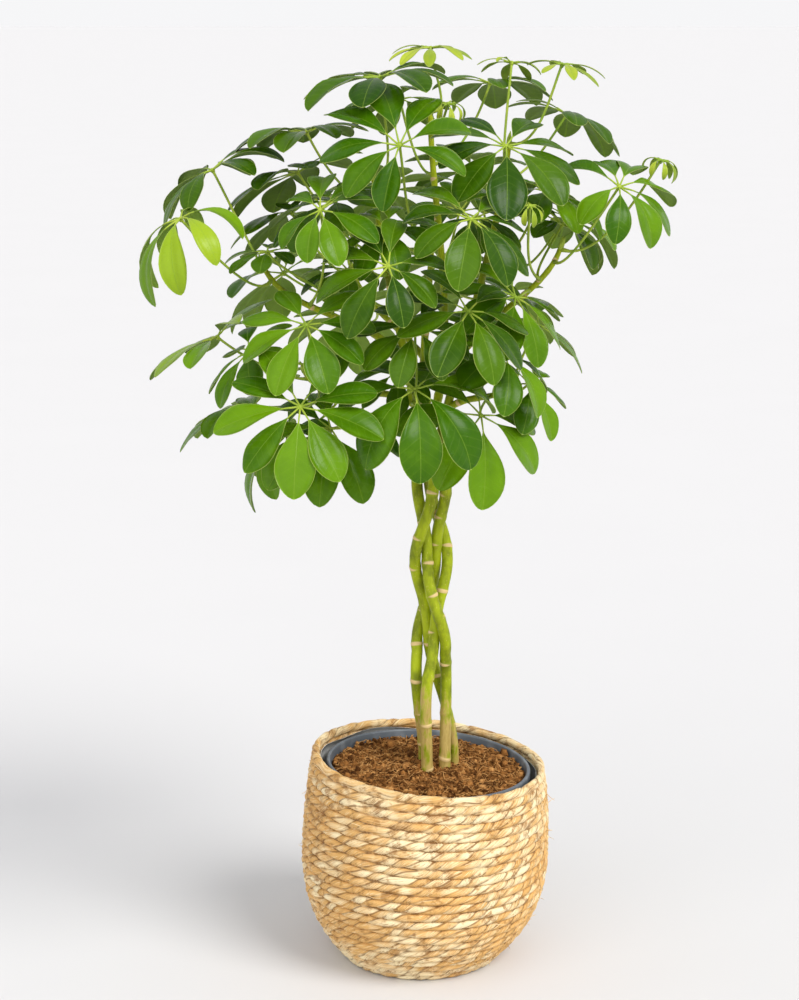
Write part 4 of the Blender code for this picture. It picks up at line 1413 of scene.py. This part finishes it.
class BasketLook(bpy.types.PropertyGroup):
    """Size and colours of the straw rope."""
    rope_pitch: FloatProperty(name="Rope pitch", description="Height of one turn of rope",
                              default=0.0093, min=0.006, max=0.02, subtype="DISTANCE", unit="LENGTH")
    twist_pitch: FloatProperty(name="Twist", description="Length of rope in one full twist",
                               default=0.034, min=0.015, max=0.1, subtype="DISTANCE", unit="LENGTH")
    stray_ends: IntProperty(name="Stray ends", description="Loose straw ends on the wall",
                            default=170, min=0, max=400)
    straw_pale: colour("Pale straw", "Lightest strands", (0.95, 0.80, 0.50))
    straw_warm: colour("Warm straw", "Orange strands", (0.74, 0.43, 0.14))
    straw_brown: colour("Brown straw", "Fibres and stains", (0.36, 0.165, 0.04))
    # Painted shade in the grooves between the strands and on the wall behind the rope
    straw_dark: colour("Grooves", "Between the strands", (0.22, 0.105, 0.028))


class PottingLook(bpy.types.PropertyGroup):
    """Liner, pot and soil."""
    liner_colour: colour("Liner", "Plastic sheet", (0.84, 0.84, 0.81))
    liner_shade: colour("Liner shade", "Its darker clouds", (0.60, 0.61, 0.61))
    pot_colour: colour("Pot", "Moulded plastic", (0.105, 0.125, 0.150))
    pot_dust: colour("Pot dust", "Dry dust on the pot", (0.30, 0.33, 0.36))
    # Darkest soil: partly its own colour, partly painted shade in the hollows
    soil_dark: colour("Damp soil", "Deepest soil", (0.060, 0.021, 0.005))
    soil_brown: colour("Dry soil", "Crumbs", (0.38, 0.165, 0.045))
    soil_fibre: colour("Coir", "Fibres", (0.66, 0.36, 0.13))
    crumbs: IntProperty(name="Crumbs", description="Crumbs on the soil", default=2600, min=0, max=6000)
    fibres: IntProperty(name="Fibres", description="Fibres on the soil", default=900, min=0, max=3000)


class StemLook(bpy.types.PropertyGroup):
    """Nodes and colours of the stems."""
    node_gap: FloatProperty(name="Node gap", description="Usual distance between leaf scars",
                            default=0.042, min=0.01, max=0.1, subtype="DISTANCE", unit="LENGTH")
    bark_green: colour("Green bark", "Shaded green", (0.160, 0.200, 0.005))
    bark_lime: colour("Lime bark", "Bright green", (0.38, 0.46, 0.008))
    bark_tan: colour("Tan bark", "Old bark at the foot", (0.70, 0.53, 0.18))
    bark_brown: colour("Brown bark", "Cracks in old bark", (0.20, 0.13, 0.018))
    bark_scar: colour("Scars", "Where leaves have fallen", (0.70, 0.52, 0.24))


class LeafLook(bpy.types.PropertyGroup):
    """Shape and colours of the leaves."""
    crease: FloatProperty(name="Crease", description="How far a blade folds along its midrib",
                          default=0.42, min=0.0, max=1.0, subtype="FACTOR")
    side_veins: FloatProperty(name="Side veins", description="Side veins along one blade",
                              default=9.0, min=2.0, max=30.0)
    margin_width: FloatProperty(name="Margin", description="Width of the pale margin in millimetres",
                                default=0.60, min=0.1, max=3.0)
    young_light: colour("Young, light", "Youngest leaves", (0.48, 0.57, 0.045))
    young_dark: colour("Young, dark", "Shaded part of the youngest leaves", (0.20, 0.31, 0.015))
    mid_light: colour("Grown, light", "Grown leaves", (0.145, 0.305, 0.003))
    mid_dark: colour("Grown, dark", "Shaded part of grown leaves", (0.034, 0.115, 0.001))
    # Old leaves grow inside the crown and are darkened further: partly their own darker green, partly painted
    # shade of the crown's interior
    old_light: colour("Old, light", "Old leaves", (0.078, 0.178, 0.002))
    old_dark: colour("Old, dark", "Shaded part of old leaves", (0.018, 0.064, 0.001))
    under_colour: colour("Underside", "Back of the blades", (0.20, 0.29, 0.060))
    under_light: colour("Underside, light", "Its lighter clouds", (0.30, 0.39, 0.10))
    vein_colour: colour("Veins", "Midrib and side veins", (0.28, 0.45, 0.045))
    margin_colour: colour("Margins", "Pale rim of the blades", (0.44, 0.56, 0.12))
    sunlit_colour: colour("Sunlit", "The palest grown leaves", (0.36, 0.50, 0.025))
    through_colour: colour("Light through", "Light that passes a blade", (0.36, 0.60, 0.02))
    stalk_green: colour("Stalks", "Petioles", (0.20, 0.33, 0.025))
    stalk_lime: colour("Stalks, light", "Their lighter parts", (0.40, 0.50, 0.055))

    def shades(self, age):
        return getattr(self, age + "_dark"), getattr(self, age + "_light")


class StageLook(bpy.types.PropertyGroup):
    """Floor, light and camera."""
    floor_radius: FloatProperty(name="Floor radius", description="The floor reaches this far",
                                default=100.0, min=2.0, subtype="DISTANCE", unit="LENGTH")
    floor_colour: colour("Floor", "Pale floor", (0.70, 0.70, 0.71))
    floor_shade: colour("Floor, shade", "Its slightly darker clouds", (0.685, 0.685, 0.695))
    horizon_colour: colour("Horizon", "Light from the sides", (0.925, 0.925, 0.935))
    sky_colour: colour("Sky", "Light from above", (0.64, 0.64, 0.66))
    key_strength: FloatProperty(name="Key light", description="Distant lamp at the right", default=2.45,
                                min=0.0, max=20.0)
    fill_strength: FloatProperty(name="Fill light", description="Distant lamp in front", default=0.90,
                                 min=0.0, max=20.0)
    lamp_spread: FloatProperty(name="Lamp spread", description="Angle that the key lamp covers",
                               default=0.55, min=0.0, max=1.5, subtype="ANGLE", unit="ROTATION")
    lens: FloatProperty(name="Lens", description="Focal length in millimetres", default=77.8,
                        min=10.0, max=300.0)
    camera_dip: FloatProperty(name="Camera dip", description="Degrees the camera looks down",
                              default=12.9, min=-90.0, max=90.0)


# ---------------------------------------------------------------- operators and panel

class PLANT_OT_stage(bpy.types.Operator):
    """Make the floor, the lights and the camera"""
    bl_idname = "umbrella_plant.make_stage"
    bl_label = "Make Stage"

    def execute(self, context):
        make_stage(context.scene.plant_stage)
        return {"FINISHED"}


class PLANT_OT_basket(bpy.types.Operator):
    """Coil the straw rope basket"""
    bl_idname = "umbrella_plant.make_basket"
    bl_label = "Make Basket"

    def execute(self, context):
        make_basket(context.scene.plant_basket)
        return {"FINISHED"}


class PLANT_OT_liner(bpy.types.Operator):
    """Line the basket with a crinkled plastic sheet"""
    bl_idname = "umbrella_plant.make_liner"
    bl_label = "Make Liner"

    def execute(self, context):
        make_liner(context.scene.plant_potting)
        return {"FINISHED"}


class PLANT_OT_pot(bpy.types.Operator):
    """Turn the nursery pot"""
    bl_idname = "umbrella_plant.make_pot"
    bl_label = "Make Pot"

    def execute(self, context):
        make_pot(context.scene.plant_potting)
        return {"FINISHED"}


class PLANT_OT_soil(bpy.types.Operator):
    """Fill the pot with soil"""
    bl_idname = "umbrella_plant.make_soil"
    bl_label = "Make Soil"

    def execute(self, context):
        make_soil(context.scene.plant_potting)
        return {"FINISHED"}


class PLANT_OT_stems(bpy.types.Operator):
    """Grow the four braided stems and their branches"""
    bl_idname = "umbrella_plant.make_stems"
    bl_label = "Make Stems"

    def execute(self, context):
        make_stems(context.scene.plant_stems, context.scene.plant_leaves)
        return {"FINISHED"}


class PLANT_OT_leaves(bpy.types.Operator):
    """Grow every leaf on its shoot"""
    bl_idname = "umbrella_plant.make_leaves"
    bl_label = "Make Leaves"

    def execute(self, context):
        make_leaves(context.scene.plant_leaves)
        return {"FINISHED"}


LOOKS = {
    "plant_basket": BasketLook,
    "plant_potting": PottingLook,
    "plant_stems": StemLook,
    "plant_leaves": LeafLook,
    "plant_stage": StageLook,
}
OPERATORS = (PLANT_OT_stage, PLANT_OT_basket, PLANT_OT_liner, PLANT_OT_pot, PLANT_OT_soil,
             PLANT_OT_stems, PLANT_OT_leaves)


class PLANT_PT_panel(bpy.types.Panel):
    """Settings and makers of the potted plant"""
    bl_idname = "PLANT_PT_panel"
    bl_label = "Umbrella Plant"
    bl_space_type = "VIEW_3D"
    bl_region_type = "UI"
    bl_category = "Plant"

    def draw(self, context):
        for operator in OPERATORS:
            self.layout.operator(operator.bl_idname)
        for name, look in LOOKS.items():
            box = self.layout.box()
            box.label(text=look.__doc__)
            for setting in look.__annotations__:
                box.prop(getattr(context.scene, name), setting)


def register():
    for group in LOOKS.values():
        bpy.utils.register_class(group)
    for operator in OPERATORS:
        bpy.utils.register_class(operator)
    bpy.utils.register_class(PLANT_PT_panel)
    for name, group in LOOKS.items():
        setattr(bpy.types.Scene, name, PointerProperty(type=group))


def unregister():
    for name in LOOKS:
        delattr(bpy.types.Scene, name)
    for each in (PLANT_PT_panel, *OPERATORS, *LOOKS.values()):
        bpy.utils.unregister_class(each)


def main():
    register()
    for operator in OPERATORS:
        group, name = operator.bl_idname.split(".")
        getattr(getattr(bpy.ops, group), name)()
    bpy.context.view_layer.update()


if __name__ == "__main__":
    main()
